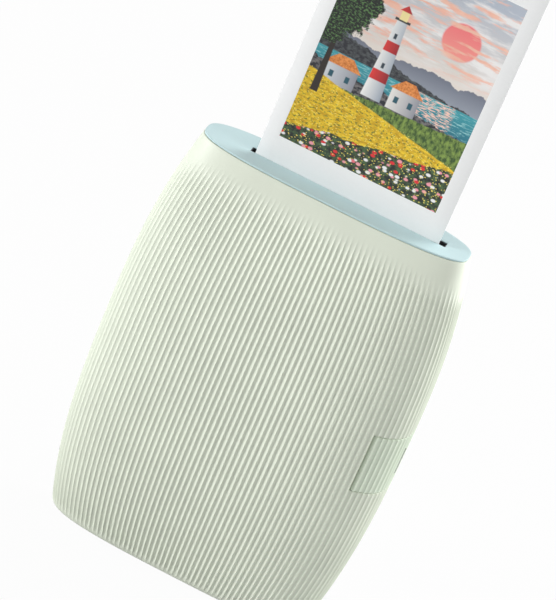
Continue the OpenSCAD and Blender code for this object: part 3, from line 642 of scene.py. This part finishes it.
def paint_sky(art):
    haze = art.ramp(art.up, 1, 28)
    art.seen = art.blend(haze, (0.86, 0.78, 0.70), (0.47, 0.52, 0.60))
    art.lay(art.both(art.patches(15, 3.4, 2.0, 0.46, 0.60), art.ramp(art.up, 3, 8)),
            (0.90, 0.88, 0.87))
    sun = art.blend(art.ramp(art.up, 9, 21), (0.95, 0.36, 0.30), (0.92, 0.16, 0.19))
    art.lay(art.oval(11, 15, 5.2, 5.2), sun)
    streaks = art.both(art.ramp(art.grain(13, 2.2, 8.0, 6.0), 0.50, 0.59), art.ramp(art.up, 4, 8))
    art.lay(streaks, art.blend(art.grain(5, 1.5, 4.0), (0.97, 0.72, 0.58), (0.90, 0.33, 0.22)))


def paint_hills_and_sea(art):
    far = art.blend(art.ramp(art.up, -4, 7), (0.36, 0.40, 0.47), (0.10, 0.11, 0.16))
    art.lay(art.below(3.5, 5.5, 13, 0.0, 3.0), far)
    near = art.blend(art.patches(1.3, 0.9, 6.0, 0.42, 0.60), (0.018, 0.020, 0.028),
                     (0.085, 0.095, 0.10))
    art.lay(art.below(0.5, 5.0, 11, -0.16, 9.0), near)
    deep = art.blend(art.ramp(art.up, -11, -2), (0.012, 0.13, 0.20), (0.05, 0.36, 0.42))
    sea = art.blend(art.patches(2.6, 0.45, 1.0, 0.52, 0.62), deep, (0.30, 0.62, 0.64))
    glint = art.both(art.patches(1.6, 0.35, 5.0, 0.48, 0.56), art.oval(11, -6, 6, 9, 0.3))
    art.lay(art.below(-2.2), art.blend(glint, sea, (0.96, 0.62, 0.52)))


def paint_shore(art):
    """A white tower with a red lantern roof, and two houses with orange roofs."""
    rock = art.blend(art.patches(1.6, 1.0, 3.0, 0.44, 0.58), (0.02, 0.022, 0.03),
                     (0.19, 0.18, 0.18))
    art.lay(art.below(-7.5, 3.2, 6, -0.10, 4.0), rock)
    white = art.blend(art.ramp(art.across, -7.4, -2.4), (0.93, 0.93, 0.91), (0.36, 0.42, 0.50))
    art.lay(art.wedge(-5, 1.5, 2.1, 11.5, 0.06), white)
    band = art.blend(art.ramp(art.across, -7.4, -2.4), (0.80, 0.045, 0.04), (0.26, 0.01, 0.02))
    for up in (-3.2, 5.4):
        art.lay(art.wedge(-5, up, 2.1 - 0.06 * (up - 1.5), 1.5, 0.06), band)
    art.lay(art.wedge(-5, 13.3, 2.1, 0.35), (0.03, 0.035, 0.04))
    art.lay(art.wedge(-5, 14.7, 1.1, 1.3), (0.95, 0.80, 0.38))
    art.lay(art.wedge(-5, 16.8, 0.9, 0.9, 0.9), band)
    for up in (-0.2, 8.6):
        art.lay(art.wedge(-5.2, up, 0.4, 0.75), (0.03, 0.05, 0.07))
    for across, up, wide, tone in ((3.4, -7.2, 4.0, (0.86, 0.84, 0.80)),
                                   (-14.6, -8.4, 4.6, (0.72, 0.76, 0.80))):
        side = art.ramp(art.across, across - wide, across + wide)
        wall = art.blend(side, tone, (0.30, 0.31, 0.36))
        art.lay(art.wedge(across, up, wide, 3.0), wall)
        tiles = art.blend(art.patches(0.5, 0.5, across, 0.4, 0.6), (0.62, 0.17, 0.03),
                          (0.88, 0.34, 0.09))
        art.lay(art.wedge(across, up + 4.4, wide - 0.9, 1.6, 1.0), tiles)
        for share in (-0.5, 0.5):
            art.lay(art.wedge(across + share * wide, up, 0.6, 0.9), (0.02, 0.10, 0.14))


def paint_meadow(art):
    grass = art.blend(art.patches(0.9, 1.6, 2.0, 0.40, 0.62), (0.035, 0.085, 0.018),
                      (0.24, 0.36, 0.07))
    art.lay(art.below(-10.5, 1.6, 7, 0.04, 1.0), grass)
    field = art.blend(art.patches(2.2, 0.8, 8.0, 0.40, 0.60), (0.62, 0.36, 0.006),
                      (0.93, 0.66, 0.03))
    art.lay(art.below(-13.5, 1.0, 9, -0.20, 2.0), field)
    art.lay(art.both(art.below(-14.2, 1.0, 9, -0.20, 2.0), art.patches(1.0, 0.6, 3.0, 0.54, 0.60)),
            (0.20, 0.20, 0.02))
    shade = art.blend(art.patches(1.4, 1.2, 5.0, 0.42, 0.62), (0.012, 0.016, 0.016),
                      (0.07, 0.14, 0.05))
    near = art.below(-22.5, 1.8, 8, 0.16, 7.0)
    art.lay(near, shade)
    dots, number = art.flowers(1.9, 0.42)
    petals = art.blend(art.ramp(number, 0.30, 0.32), (0.90, 0.90, 0.90), (0.90, 0.36, 0.42))
    petals = art.blend(art.ramp(number, 0.70, 0.72), petals, (0.78, 0.03, 0.035))
    art.lay(art.both(dots, near), petals)
    small, _ = art.flowers(0.8, 0.30, 5.0)
    art.lay(art.both(small, art.below(-13.0, 1.0, 9, -0.20, 2.0)), (0.97, 0.80, 0.16))


def paint_tree(art):
    """A dark tree at the left edge, with light on its leaves."""
    art.lay(art.wedge(-19.4, -3, 0.7, 12, 0.03), (0.025, 0.018, 0.014))
    for across, up, wide, high in ((-20, 9.5, 7.5, 7.0), (-15.2, 13.5, 4.5, 4.0),
                                   (-22, 2.5, 4.5, 3.5)):
        leaves = art.oval(across, up, wide, high, 1.1, 1.6)
        art.lay(leaves, (0.008, 0.012, 0.009))
        light = art.ramp(art.grain(0.7, 0.5, across, 6.0), 0.50, 0.60)
        art.lay(art.both(leaves, light), (0.10, 0.22, 0.07))


def picture(name, centre):
    """A generic view of a coast, painted in layers, with a fine photographic grain."""
    material, shader, place = new_material(name)
    plain = add_node(material, "ShaderNodeVectorMath", {0: place, 1: (1 / MM, 0.0, 1 / MM)},
                     operation="MULTIPLY").outputs[0]
    flat = add_node(material, "ShaderNodeVectorMath",
                    {0: plain, 1: (centre[0], 0.0, centre[1])}, operation="SUBTRACT").outputs[0]
    art = Painter(material, flat)
    for layer in (paint_sky, paint_hills_and_sea, paint_shore, paint_meadow, paint_tree):
        layer(art)
    grained = art.blend(art.ramp(noise(material, flat, 9, 2, 0.5), 0, 14), art.seen,
                        (0.5, 0.5, 0.5))
    set_inputs(material, shader, {"Base Color": grained, "Roughness": 0.2,
                                  "Specular IOR Level": 0.3})
    return material


# ---- The pieces ----


def barrel_of_scene():
    scene = bpy.context.scene
    return Barrel(scene.printer_casing, scene.printer_ribs)


class Places:
    """Places that several pieces share, from the sizes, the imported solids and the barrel."""

    def __init__(self, barrel):
        size = barrel.size
        self.button_front = barrel.nearest_line(size.button_front)
        self.button_back = barrel.nearest_line(size.button_back)
        self.door_s = barrel.nearest_line(size.door_reach)
        self.button = [(size.height + side * size.button_height) / 2 for side in (-1, 1)]
        pin_low, pin_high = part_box("hinge_pins")
        self.hinge_y = (pin_low.y + pin_high.y) / 2
        self.hinge_z = (pin_low.z + pin_high.z) / 2
        self.ears_out = pin_high.x
        self.ears_in = self.ears_out - 2 * size.ear - 2 * size.gap - size.knuckle
        self.knuckle_x = (self.ears_out + self.ears_in) / 2
        self.door_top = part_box("film_door")[1].z
        corner = barrel.front(0, self.hinge_z + size.door_corner) - self.hinge_y
        sweep = math.hypot(corner, size.door_corner)
        self.door_window = (self.hinge_z - sweep - size.gap, self.door_top + size.gap)


PAST_EDGE = 1.0  # a window that ends this far out runs off its panel's side
RIM_STEPS = [0.05 * MM, 0.11 * MM, 0.2 * MM]  # extra grid lines beside an edge
ROW = 3 * MM  # from one grid row to the next, where the casing is even
# Grid rows over the lower edge and under the upper one, in millimetres.
LOW_ROWS = (0.12, 0.35, 0.7, 1.2, 1.7, 2.1, 2.6, 3.2, 4, 4.8, 5.6, 6.4, 7.2, 8.2, 9.4, 11)
HIGH_ROWS = (15, 13.5, 12, 10.5, 9, 8, 7, 6, 5, 4, 3, 2.1, 1.9, 1)
FLUTE_COLUMNS = (0, 0.07, 0.2, 0.5, 1)  # shares of half a flute, from its ridge


def even_rows(low, high):
    """Heights of the even grid rows between two heights."""
    return [k * ROW for k in range(math.ceil(low / ROW), math.floor(high / ROW) + 1)]


def casing_rows(size, borders, high):
    """Heights of a casing half's grid rows, closer together where the ribs fade."""
    rows = [z * MM for z in LOW_ROWS] + [size.height - z * MM for z in HIGH_ROWS]
    rows += even_rows(LOW_ROWS[-1] * MM, size.height - HIGH_ROWS[0] * MM)
    return lines([z for z in rows if 0 < z < high], [0, high, *borders], RIM_STEPS)


def casing_columns(barrel, first, last, borders=()):
    """Arc lengths across the flutes, closer together towards the ridges."""
    pitch = 2 * barrel.half_pitch
    ridges = range(math.floor(first / pitch), math.ceil(last / pitch) + 1)
    columns = [(ridge + side * share / 2) * pitch for ridge in ridges for share in FLUTE_COLUMNS
               for side in (-1, 1)]
    return lines([s for s in columns if first < s < last], [first, last, *borders], [0.06 * MM])


class PRINTER_OT_casing(bpy.types.Operator):
    """Builds the ribbed front and rear halves of the casing"""

    bl_idname = "printer.casing"
    bl_label = "Casing halves"

    def execute(self, context):
        barrel = barrel_of_scene()
        places, size, quarter = Places(barrel), barrel.size, barrel.quarter
        sage = moulded("sage_casing", context.scene.printer_colours.casing, 0.46)
        edge = size.height - size.step
        front = ribbed_panel(
            "casing_front", barrel,
            casing_columns(barrel, -2 * quarter, 0, [-places.button_front]),
            casing_rows(size, places.button, edge),
            [(-places.button_front, PAST_EDGE, *places.button)], side_rim=0.05)
        finish_piece(front, "casing", sage, ["front_shell"])
        bosses = [screw_boss(barrel, place) for place in boss_places()]
        finish_piece(join(bosses, "screw_bosses"), "casing", sage)
        door_sides = (quarter - places.door_s, quarter + places.door_s)
        rear = ribbed_panel(
            "casing_rear", barrel,
            casing_columns(barrel, 0, 2 * quarter, [places.button_back, *door_sides]),
            casing_rows(size, [*places.button, *places.door_window], edge),
            [(-PAST_EDGE, places.button_back, *places.button),
             (*door_sides, *places.door_window)], side_rim=0.05)
        finish_piece(rear, "casing", sage, ["rear_shell"])
        finish_piece(hinge_trough(barrel, places), "casing", sage)
        return {"FINISHED"}


def boss_places():
    """Places of the screws in the front half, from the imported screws' mesh."""
    screw_width = 4 * MM
    found = []
    for x, _, z in vertex_places(frame["nodes"]["chassis_screws"]):
        near = [k for k in found if math.hypot(k[0][0] - x, k[0][1] - z) < screw_width]
        if near:
            near[0].append((x, z))
        else:
            found.append([(x, z)])
    return [tuple((np.min(k, axis=0) + np.max(k, axis=0)) / 2) for k in found]


def screw_boss(barrel, place):
    """A screw boss from the front wall towards the inner frame, with its bore."""
    x, z = place
    radius, bore, depth = 2, 0.85, 8
    root, grip = 0.6, 3.0  # how far it stands in the wall, and how far the screw reaches in
    wall_y = -barrel.front(x, z, barrel.size.wall) / MM - root
    foot_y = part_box("chassis_screws")[0].y / MM + grip
    boss = rod("boss", (x / MM, (wall_y + foot_y) / 2, z / MM), radius, foot_y - wall_y, "Y", 0.15)
    cut(boss, rod("bore", (x / MM, foot_y, z / MM), bore, depth, "Y", 0))
    shade(boss)
    return boss


def hinge_trough(barrel, places):
    """A trough under the film door, between the hinge ears, that closes the casing off."""
    play, reach = 0.25 * MM, 37.2 * MM
    stretches = [(places.ears_out + play, reach),
                 (places.ears_in + barrel.size.ear + play,
                  places.ears_out - barrel.size.ear - play)]
    stretches += [(-end, -start) for start, end in stretches]
    stretches.append((play - places.ears_in, places.ears_in - play))
    trough = join([trough_stretch(barrel, places, *ends) for ends in stretches], "hinge_trough")
    shade(trough)
    return trough


def trough_stretch(barrel, places, start, end):
    """A sheet that runs down behind the hinge, curves round under it and meets the wall."""
    size, cells = barrel.size, 9
    back_room, wall_room, overlap, thickness = 3.1 * MM, 1.5 * MM, 0.5 * MM, 0.8 * MM
    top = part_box("film_pack")[0].z - 2 * MM
    radius = places.hinge_z - places.door_window[0]
    deselect()
    bpy.ops.mesh.primitive_grid_add(x_subdivisions=cells, y_subdivisions=cells, size=1)
    sheet = named("trough")
    for vertex in sheet.data.vertices:
        x = start + (vertex.co.x + 0.5) * (end - start)
        row = round((vertex.co.y + 0.5) * cells)
        turn = math.pi / 2 * max(0, row - 1) / (cells - 1)
        back = min(places.hinge_y - back_room,
                   barrel.front(x, places.hinge_z, size.wall + wall_room))
        rim = barrel.front(x, places.door_window[0], size.wall) + overlap
        z = places.hinge_z - radius * math.sin(turn) if row else top
        vertex.co = (x, back + (rim - back) * (1 - math.cos(turn)), z)
    add_modifier(sheet, "SOLIDIFY", thickness=thickness, offset=-1)
    return sheet


def cap_disc(name, barrel, edge, inset, thickness):
    """A plate with the casing's outline, drawn in by an inset. Its outer face is at the edge."""
    deselect()
    bpy.ops.mesh.primitive_circle_add(vertices=288, radius=1, fill_type="NGON", location=(0, 0, 0))
    plate = named(name)
    turn = np.array([math.atan2(v.co.y, v.co.x) for v in plate.data.vertices])
    ring = barrel.place(turn / (math.pi / 2) * barrel.quarter, np.full(len(turn), edge), inset)
    plate.data.vertices.foreach_set("co", ring.ravel())
    inwards = -thickness if edge > 0 else thickness
    edit_faces(plate, lambda centre, normal: True, lambda: bpy.ops.mesh.extrude_region_move(
        TRANSFORM_OT_translate={"value": (0, 0, inwards)}))
    pick(plate)
    bpy.ops.object.mode_set(mode="EDIT")
    bpy.ops.mesh.select_all(action="SELECT")
    bpy.ops.mesh.normals_make_consistent(inside=False)
    bpy.ops.object.mode_set(mode="OBJECT")
    return plate


def end_cap(name, barrel, high, opening):
    """A cap plate that fills one end of the casing, with an opening and rounded edges. The top
    one has a thin flange over the casing's edge."""
    size, drawn_in = barrel.size, 0.05 * MM
    edge = size.height if high else 0.0
    plate = cap_disc(name, barrel, edge, size.lip + size.seam, size.cap)
    if high:
        flange = cap_disc("flange", barrel, edge, drawn_in, size.step - size.seam)
        cut(plate, flange, "UNION")
    cut(plate, opening)
    add_modifier(plate, "BEVEL", width=0.15 * MM, segments=3, limit_method="ANGLE",
                 angle_limit=math.radians(50))
    shade(plate, 35)
    return plate


def slot_corners(size):
    """The slot's lower and upper corner in x and y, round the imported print, in millimetres."""
    low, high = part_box("print_sheet")
    front = low.y - size.slot_front
    return ((low.x + size.slot_shift - size.slot_room) / MM, front / MM,
            (high.x + size.slot_shift + size.slot_room) / MM, (front + size.slot_depth) / MM)


def slot_block(name, size, z_low, z_high, grow, radius):
    """A block with the slot's outline, grown all round by a margin, with rounded corners."""
    x_low, y_low, x_high, y_high = slot_corners(size)
    piece = block(name, (x_low - grow, y_low - grow, z_low),
                  (x_high + grow, y_high + grow, z_high), 0)
    round_upright_edges(piece, radius)
    return piece


def slot_shade_lining(name, size):
    """The chute under the cap, with a thin lining round the ends and back of the slot whose black
    is painted shade for the slot's shadowed inside.
    """
    x_low, y_low, x_high, y_high = slot_corners(size)
    height = size.height / MM
    under, below_face, thin, past = 4, 0.2, 0.3, 5
    flange_top = height - size.cap / MM - 0.05
    lining = slot_block(name, size, height - under, height - below_face, grow=-0.02, radius=0.33)
    flange = slot_block("flange", size, height - under, flange_top, grow=1, radius=0.6)
    cut(lining, flange, "UNION")
    cut(lining, block("throat", (x_low + thin, y_low - 0.05, height - under - past),
                      (x_high - thin, y_high - thin, height + past), 0))
    shade(lining)
    return lining


def round_upright_edges(piece, radius):
    """Rounds the four upright edges of a block."""
    pick(piece)
    bpy.ops.object.mode_set(mode="EDIT")
    bpy.ops.mesh.select_mode(type="EDGE")
    bpy.ops.mesh.select_all(action="DESELECT")
    bpy.ops.object.mode_set(mode="OBJECT")
    for edge in piece.data.edges:
        a, b = (piece.data.vertices[k].co for k in edge.vertices)
        edge.select = abs((a - b).normalized().z) > 0.9
    bpy.ops.object.mode_set(mode="EDIT")
    bpy.ops.mesh.bevel(offset=radius * MM, segments=4)
    bpy.ops.object.mode_set(mode="OBJECT")


def port_opening():
    """A block with rounded ends that cuts the charging port's opening, a little wider than it."""
    low, high = (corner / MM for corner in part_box("usb_port"))
    play, past = 0.2, 4
    half = (high.y - low.y) / 2 + play
    opening = block("opening", (low.x - play, -half, -past), (high.x + play, half, past), 0)
    round_upright_edges(opening, half - 0.01)
    return opening


class PRINTER_OT_end_caps(bpy.types.Operator):
    """Builds the pale blue top cap with its slot and chute, and the base cap"""

    bl_idname = "printer.end_caps"
    bl_label = "End caps"

    def execute(self, context):
        barrel = barrel_of_scene()
        size, colours = barrel.size, context.scene.printer_colours
        height, past = size.height / MM, 5
        slot = slot_block("slot", size, height - past, height + past, grow=0, radius=0.35)
        cap = end_cap("cap_top", barrel, True, slot)
        finish_piece(cap, "casing", moulded("blue_cap", colours.cap, 0.4, 2400), ["top_cap"])
        chute = slot_shade_lining("print_chute", size)
        # The chute's black is painted shade: it darkens the slot's inside, which lies in shadow.
        finish_piece(chute, "casing", moulded("chute_painted_shade", colours.black, 0.5))
        base = end_cap("cap_base", barrel, False, port_opening())
        sage = moulded("sage_base", colours.casing, 0.5)
        finish_piece(base, "casing", sage, ["base_cap"])
        return {"FINISHED"}


def door_knuckle(barrel, places, side):
    """A knuckle round its hinge pin, and the web that carries it on the door's inner face."""
    x, y, z = side * places.knuckle_x / MM, places.hinge_y / MM, places.hinge_z / MM
    radius, bore, half = 1.3, 0.75, barrel.size.knuckle / MM / 2
    web_foot, web_height = 0.3 * radius, 4
    wall = barrel.front(x * MM, (z + 2) * MM, barrel.size.wall / 2) / MM
    knuckle = rod("knuckle", (x, y, z), radius, 2 * half, "X", 0.12)
    web = block("web", (x - half, y - 0.7 * radius, z + web_foot),
                (x + half, wall, z + web_foot + web_height), 0.1)
    for part in (knuckle, web):
        cut(part, rod("bore", (x, y, z), bore, 2 * half + 2, "X", 0))
        shade(part)
    return [knuckle, web]


class PRINTER_OT_film_door(bpy.types.Operator):
    """Builds the ribbed film door with its hinge knuckles"""

    bl_idname = "printer.film_door"
    bl_label = "Film door"

    def execute(self, context):
        barrel = barrel_of_scene()
        places = Places(barrel)
        half = places.door_s - barrel.size.gap
        low, high = places.hinge_z + 0.2 * MM, places.door_top
        tuck_depth, tuck_height, steps = 1.1 * MM, 1.6 * MM, 8

        def tuck(z):
            """The lower edge is drawn in, so that it clears the casing as the door opens."""
            return tuck_depth * np.clip(1 - (z - low) / tuck_height, 0, 1) ** 2.4

        rows = [low + k * tuck_height / steps for k in range(1, steps + 1)]
        rows += even_rows(LOW_ROWS[-1] * MM, high)
        panel = ribbed_panel(
            "film_door_panel", barrel,
            casing_columns(barrel, barrel.quarter - half, barrel.quarter + half),
            lines([z for z in rows if low < z < high], [low, high], RIM_STEPS), extra=tuck)
        knuckles = [part for side in (-1, 1) for part in door_knuckle(barrel, places, side)]
        door = join([panel, *knuckles], "film_door_panel")
        sage = moulded("sage_door", context.scene.printer_colours.casing, 0.46)
        finish_piece(door, "door", sage, ["film_door"])
        return {"FINISHED"}


def light_window(name, low, high, size):
    """The status light's bar: a rounded block that stands square to the wall."""
    middle = (low + high) / 2
    play, wide, rounding = 0.06, 1.1, 0.12
    half = Vector(((high.x - low.x) / MM - play, wide, (high.z - low.z) / MM)) / 2
    bar = block(name, -half, half, rounding)
    bar.rotation_euler = (0, 0, math.atan(middle.y / (size.depth / 2 - size.wall / 2)))
    bar.location = middle
    settle(bar)
    shade(bar)
    return bar


def switch_stem(height):
    """The stem behind the button that presses the switch on its board."""
    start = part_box("button_board")[1].x / MM - 0.3  # pressed a little into the switch
    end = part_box("power_button")[1].x / MM - 0.9  # inside the button's wall
    switch_y, radius = 5, 1.2
    middle = ((start + end) / 2, switch_y, height / MM / 2)
    stem = rod("stem", middle, radius, end - start, "X", 0.1)
    shade(stem)
    return stem


class PRINTER_OT_power_button(bpy.types.Operator):
    """Builds the wrap-round power button with its light slit"""

    bl_idname = "printer.power_button"
    bl_label = "Power button"

    def execute(self, context):
        barrel = barrel_of_scene()
        places, size = Places(barrel), barrel.size
        wing_gap, slit_half = size.button_travel + 0.06 * MM, 0.65 * MM
        light_low, light_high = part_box("status_light")
        light_s = barrel.nearest_line((light_low.y + light_high.y) / 2)
        slit = (light_s - slit_half, light_s + slit_half)
        low, high = places.button[0] + size.button_gap, places.button[1] - size.button_gap
        rows = lines(even_rows(low, high), [low, high, light_low.z, light_high.z], RIM_STEPS)
        columns = casing_columns(barrel, wing_gap - places.button_front,
                                 places.button_back - wing_gap, slit)
        panel = ribbed_panel("power_button_panel", barrel, columns, rows,
                             [(*slit, light_low.z, light_high.z)], rim=0.12)
        button = join([panel, switch_stem(size.height)], "power_button_panel")
        material = moulded("sage_panel", context.scene.printer_colours.panel, 0.42)
        finish_piece(button, "button", material, ["power_button"])
        window = light_window("light_slit", light_low, light_high, size)
        smoked = smoked_window("smoked_slit")
        finish_piece(window, "button", smoked, ["status_light"])
        return {"FINISHED"}


class PRINTER_OT_print(bpy.types.Operator):
    """Builds the print with its white border, its picture and its dark back"""

    bl_idname = "printer.print"
    bl_label = "Print"

    def execute(self, context):
        sizes, colours = context.scene.printer_print, context.scene.printer_colours
        low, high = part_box("print_sheet")
        sheet = block("photo_print", low / MM, high / MM, 0)
        left, right = low.x + sizes.side_border, high.x - sizes.side_border
        bottom = low.z + sizes.low_border
        top = bottom + sizes.picture
        pick(sheet)
        bpy.ops.object.mode_set(mode="EDIT")
        for place, across in ((left, (1, 0, 0)), (right, (1, 0, 0)),
                              (bottom, (0, 0, 1)), (top, (0, 0, 1))):
            bpy.ops.mesh.select_all(action="SELECT")
            bpy.ops.mesh.bisect(plane_co=Vector(across) * place, plane_no=across)
        bpy.ops.object.mode_set(mode="OBJECT")
        middle = Vector(((left + right) / 2, low.y, (bottom + top) / 2))

        def in_window(centre, normal):
            return normal.y < -0.5 and (centre - middle).length < 1 * MM

        def on_back(centre, normal):
            near = 0.9 * sizes.back_edge
            return (normal.y > 0.5 and low.x + near < centre.x < high.x - near
                    and low.z + near < centre.z < high.z - near)

        edit_faces(sheet, in_window, lambda: bpy.ops.mesh.inset(thickness=sizes.rim,
                                                                depth=-sizes.recess))
        edit_faces(sheet, lambda centre, normal: normal.y > 0.5,
                   lambda: bpy.ops.mesh.inset(thickness=sizes.back_edge))
        for material in (paper("print_border", colours.paper),
                         picture("print_picture", (middle.x / MM, middle.z / MM)),
                         moulded("print_back", colours.back, 0.36, 900, vary=0.1)):
            sheet.data.materials.append(material)
        for face in sheet.data.polygons:
            if in_window(face.center, face.normal):
                face.material_index = 1
            elif on_back(face.center, face.normal):
                face.material_index = 2
        add_modifier(sheet, "BEVEL", width=0.05 * MM, segments=2, limit_method="ANGLE",
                     angle_limit=math.radians(60))
        shade(sheet, 30)
        finish_piece(sheet, "print", None, ["print_sheet"])
        return {"FINISHED"}


CAD_FINISHES = {
    "inner_frame": ["chassis", "door_snap_hooks"],
    "steel": ["chassis_screws", "gear_motor", "pinch_springs", "pack_spring", "usb_port",
              "hinge_pins", "door_pressure_springs", "drive_shaft", "pinch_roller", "picker_claw"],
    "black_plastic": ["exposure_head", "film_pack"],
    "rubber": ["light_flap", "drive_roller"],
    "gear_plastic": ["roller_bushes", "roller_gear", "upper_idler_gear", "lower_idler_gear"],
    "circuit_board": ["main_board", "usb_board", "button_board"],
    "brass": ["motor_pinion"],
    "battery_wrap": ["battery"],
    "flex": ["head_flex"],
    "film": ["film_stack"],
    "lens": ["lens_array"],
}


class PRINTER_OT_inner_finishes(bpy.types.Operator):
    """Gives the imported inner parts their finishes"""

    bl_idname = "printer.inner_finishes"
    bl_label = "Inner finishes"

    def execute(self, context):
        colours = context.scene.printer_colours
        finishes = {
            "inner_frame": moulded("grey_frame", colours.frame, 0.5),
            "steel": brushed("brushed_steel", (0.60, 0.60, 0.62)),
            "black_plastic": moulded("black_shell", colours.black, 0.48, vary=0.15),
            "rubber": rubber("black_rubber", (0.022, 0.022, 0.022)),
            "gear_plastic": moulded("natural_acetal", (0.78, 0.76, 0.70), 0.38),
            "circuit_board": circuit_board("green_board"),
            "brass": brushed("turned_brass", (0.72, 0.52, 0.25), 0.25, (0.03, 1, 1)),
            "battery_wrap": shrink_wrap("blue_wrap", (0.10, 0.18, 0.36)),
            "flex": striped_film("amber_flex", (0.42, 0.20, 0.04), (0.62, 0.36, 0.12), 0.0004),
            "film": layered_film("film_edges"),
            "lens": lens_glass("rod_lenses"),
        }
        for slot, names in CAD_FINISHES.items():
            for name in names:
                node = frame["nodes"][name]
                node.data.materials.clear()
                node.data.materials.append(finishes[slot])
        return {"FINISHED"}


# ---- The stage ----


LAMPS = {  # place in metres, side of the square lamp in metres, power in watts
    "key_light": ((-1.20, -0.62, 0.40), 0.3, 15),
    "fill_light": ((1.25, -0.15, 0.60), 0.6, 7.5),
    "side_light": ((1.05, 0.75, 0.50), 0.6, 12),
    "back_light": ((0.40, 0.60, 1.12), 0.5, 5),
}
LAMP_TARGET = Vector((0, 0, 0.08))
CAMERA_TARGET = Vector((-3.115, 0, 88.293)) * MM
ROOM_LIGHT = 0.29  # strength of the white world's light
FLOOR_WHITE = 0.96  # share of plain white in what the camera sees of the floor


def area_light(name, place, side, power):
    """A square lamp that faces the printer."""
    deselect()
    bpy.ops.object.light_add(type="AREA", location=place)
    lamp = bpy.context.object
    lamp.name = name
    lamp.rotation_mode = "QUATERNION"
    lamp.rotation_quaternion = (LAMP_TARGET - Vector(place)).to_track_quat("-Z", "Y")
    lamp.data.shape = "SQUARE"
    lamp.data.size = side
    lamp.data.energy = power


def white_to_camera(owner, surface, white, share):
    """Mixes a plain white into what the camera, gloss and glass see of a world or a material."""
    rays = add_node(owner, "ShaderNodeLightPath").outputs
    seen = rays["Is Camera Ray"]
    for name in ("Is Glossy Ray", "Is Transmission Ray"):
        seen = add_node(owner, "ShaderNodeMath", {0: seen, 1: rays[name]},
                        operation="MAXIMUM").outputs[0]
    seen = add_node(owner, "ShaderNodeMath", {0: seen, 1: share}, operation="MULTIPLY").outputs[0]
    return add_node(owner, "ShaderNodeMixShader", {0: seen, 1: surface, 2: white}).outputs[0]


class PRINTER_OT_stage(bpy.types.Operator):
    """Builds the floor, the lights and the camera at the photograph's angle"""

    bl_idname = "printer.stage"
    bl_label = "Stage"

    def execute(self, context):
        scene = context.scene
        scene.view_settings.view_transform = "Standard"
        self.add_world(scene)
        self.add_floor()
        for name, lamp in LAMPS.items():
            area_light(name, *lamp)
        self.add_camera(scene)
        return {"FINISHED"}

    def add_world(self, scene):
        scene.world = world = bpy.data.worlds.new("white_room")
        world.use_nodes = True
        world.node_tree.nodes.clear()
        room, white = (add_node(world, "ShaderNodeBackground", {
            "Color": (1, 1, 1, 1), "Strength": strength}).outputs[0]
            for strength in (ROOM_LIGHT, 1.0))
        add_node(world, "ShaderNodeOutputWorld",
                 {"Surface": white_to_camera(world, room, white, 1.0)})

    def add_floor(self):
        deselect()
        bpy.ops.mesh.primitive_plane_add(size=8, location=(0, 0, 0))
        floor = named("floor")
        material = bpy.data.materials.new("pale_floor")
        material.use_nodes = True
        nodes = material.node_tree.nodes
        shader = nodes["Principled BSDF"]
        set_inputs(material, shader, {"Base Color": (0.6, 0.6, 0.6, 1), "Roughness": 0.9,
                                      "Specular IOR Level": 0.1})
        white = add_node(material, "ShaderNodeEmission", {"Strength": 1.0}).outputs[0]
        set_inputs(material, nodes["Material Output"], {
            "Surface": white_to_camera(material, shader.outputs[0], white, FLOOR_WHITE)})
        floor.data.materials.append(material)

    def add_camera(self, scene):
        stage = scene.printer_stage
        azimuth, elevation, roll = stage.azimuth, stage.elevation, stage.roll
        back = Vector((math.sin(azimuth) * math.cos(elevation),
                       -math.cos(azimuth) * math.cos(elevation), math.sin(elevation)))
        right = Vector((math.cos(azimuth), math.sin(azimuth), 0))
        up = back.cross(right)
        right_rolled = right * math.cos(roll) + up * math.sin(roll)
        up_rolled = up * math.cos(roll) - right * math.sin(roll)
        deselect()
        bpy.ops.object.camera_add(location=CAMERA_TARGET + back * stage.distance)
        camera = bpy.context.object
        camera.name = "photo_camera"
        camera.rotation_mode = "QUATERNION"
        axes = Matrix((right_rolled, up_rolled, back)).transposed()
        camera.rotation_quaternion = axes.to_quaternion()
        camera.data.sensor_width = 36
        camera.data.lens = stage.lens
        camera.data.clip_start = 0.01
        camera.data.clip_end = 50
        scene.camera = camera


# ---- The add-on ----


class PRINTER_PT_pieces(bpy.types.Panel):
    """Sizes, colours and pieces of the printer"""

    bl_idname = "PRINTER_PT_pieces"
    bl_label = "Compact photo printer"
    bl_space_type = "VIEW_3D"
    bl_region_type = "UI"
    bl_category = "Printer"

    def draw(self, context):
        layout, scene = self.layout, context.scene
        for key in GROUPS:
            group, box = getattr(scene, key), layout.box()
            for size in group.__annotations__:
                box.prop(group, size)
        for operator in OPERATORS:
            layout.operator(operator.bl_idname)


OPERATORS = (PRINTER_OT_casing, PRINTER_OT_end_caps, PRINTER_OT_film_door,
             PRINTER_OT_power_button, PRINTER_OT_print, PRINTER_OT_inner_finishes,
             PRINTER_OT_stage)
GROUPS = {"printer_casing": CasingSizes, "printer_ribs": RibSizes, "printer_print": PrintSizes,
          "printer_colours": FinishColours, "printer_stage": StageSizes}
CLASSES = (*GROUPS.values(), *OPERATORS, PRINTER_PT_pieces)


def register():
    for cls in CLASSES:
        bpy.utils.register_class(cls)
    for key, group in GROUPS.items():
        setattr(bpy.types.Scene, key, PointerProperty(type=group))


def unregister():
    for key in GROUPS:
        delattr(bpy.types.Scene, key)
    for cls in reversed(CLASSES):
        bpy.utils.unregister_class(cls)


def main():
    register()
    for operator in OPERATORS:
        group, name = operator.bl_idname.split(".")
        getattr(getattr(bpy.ops, group), name)()


if __name__ == "__main__":
    main()
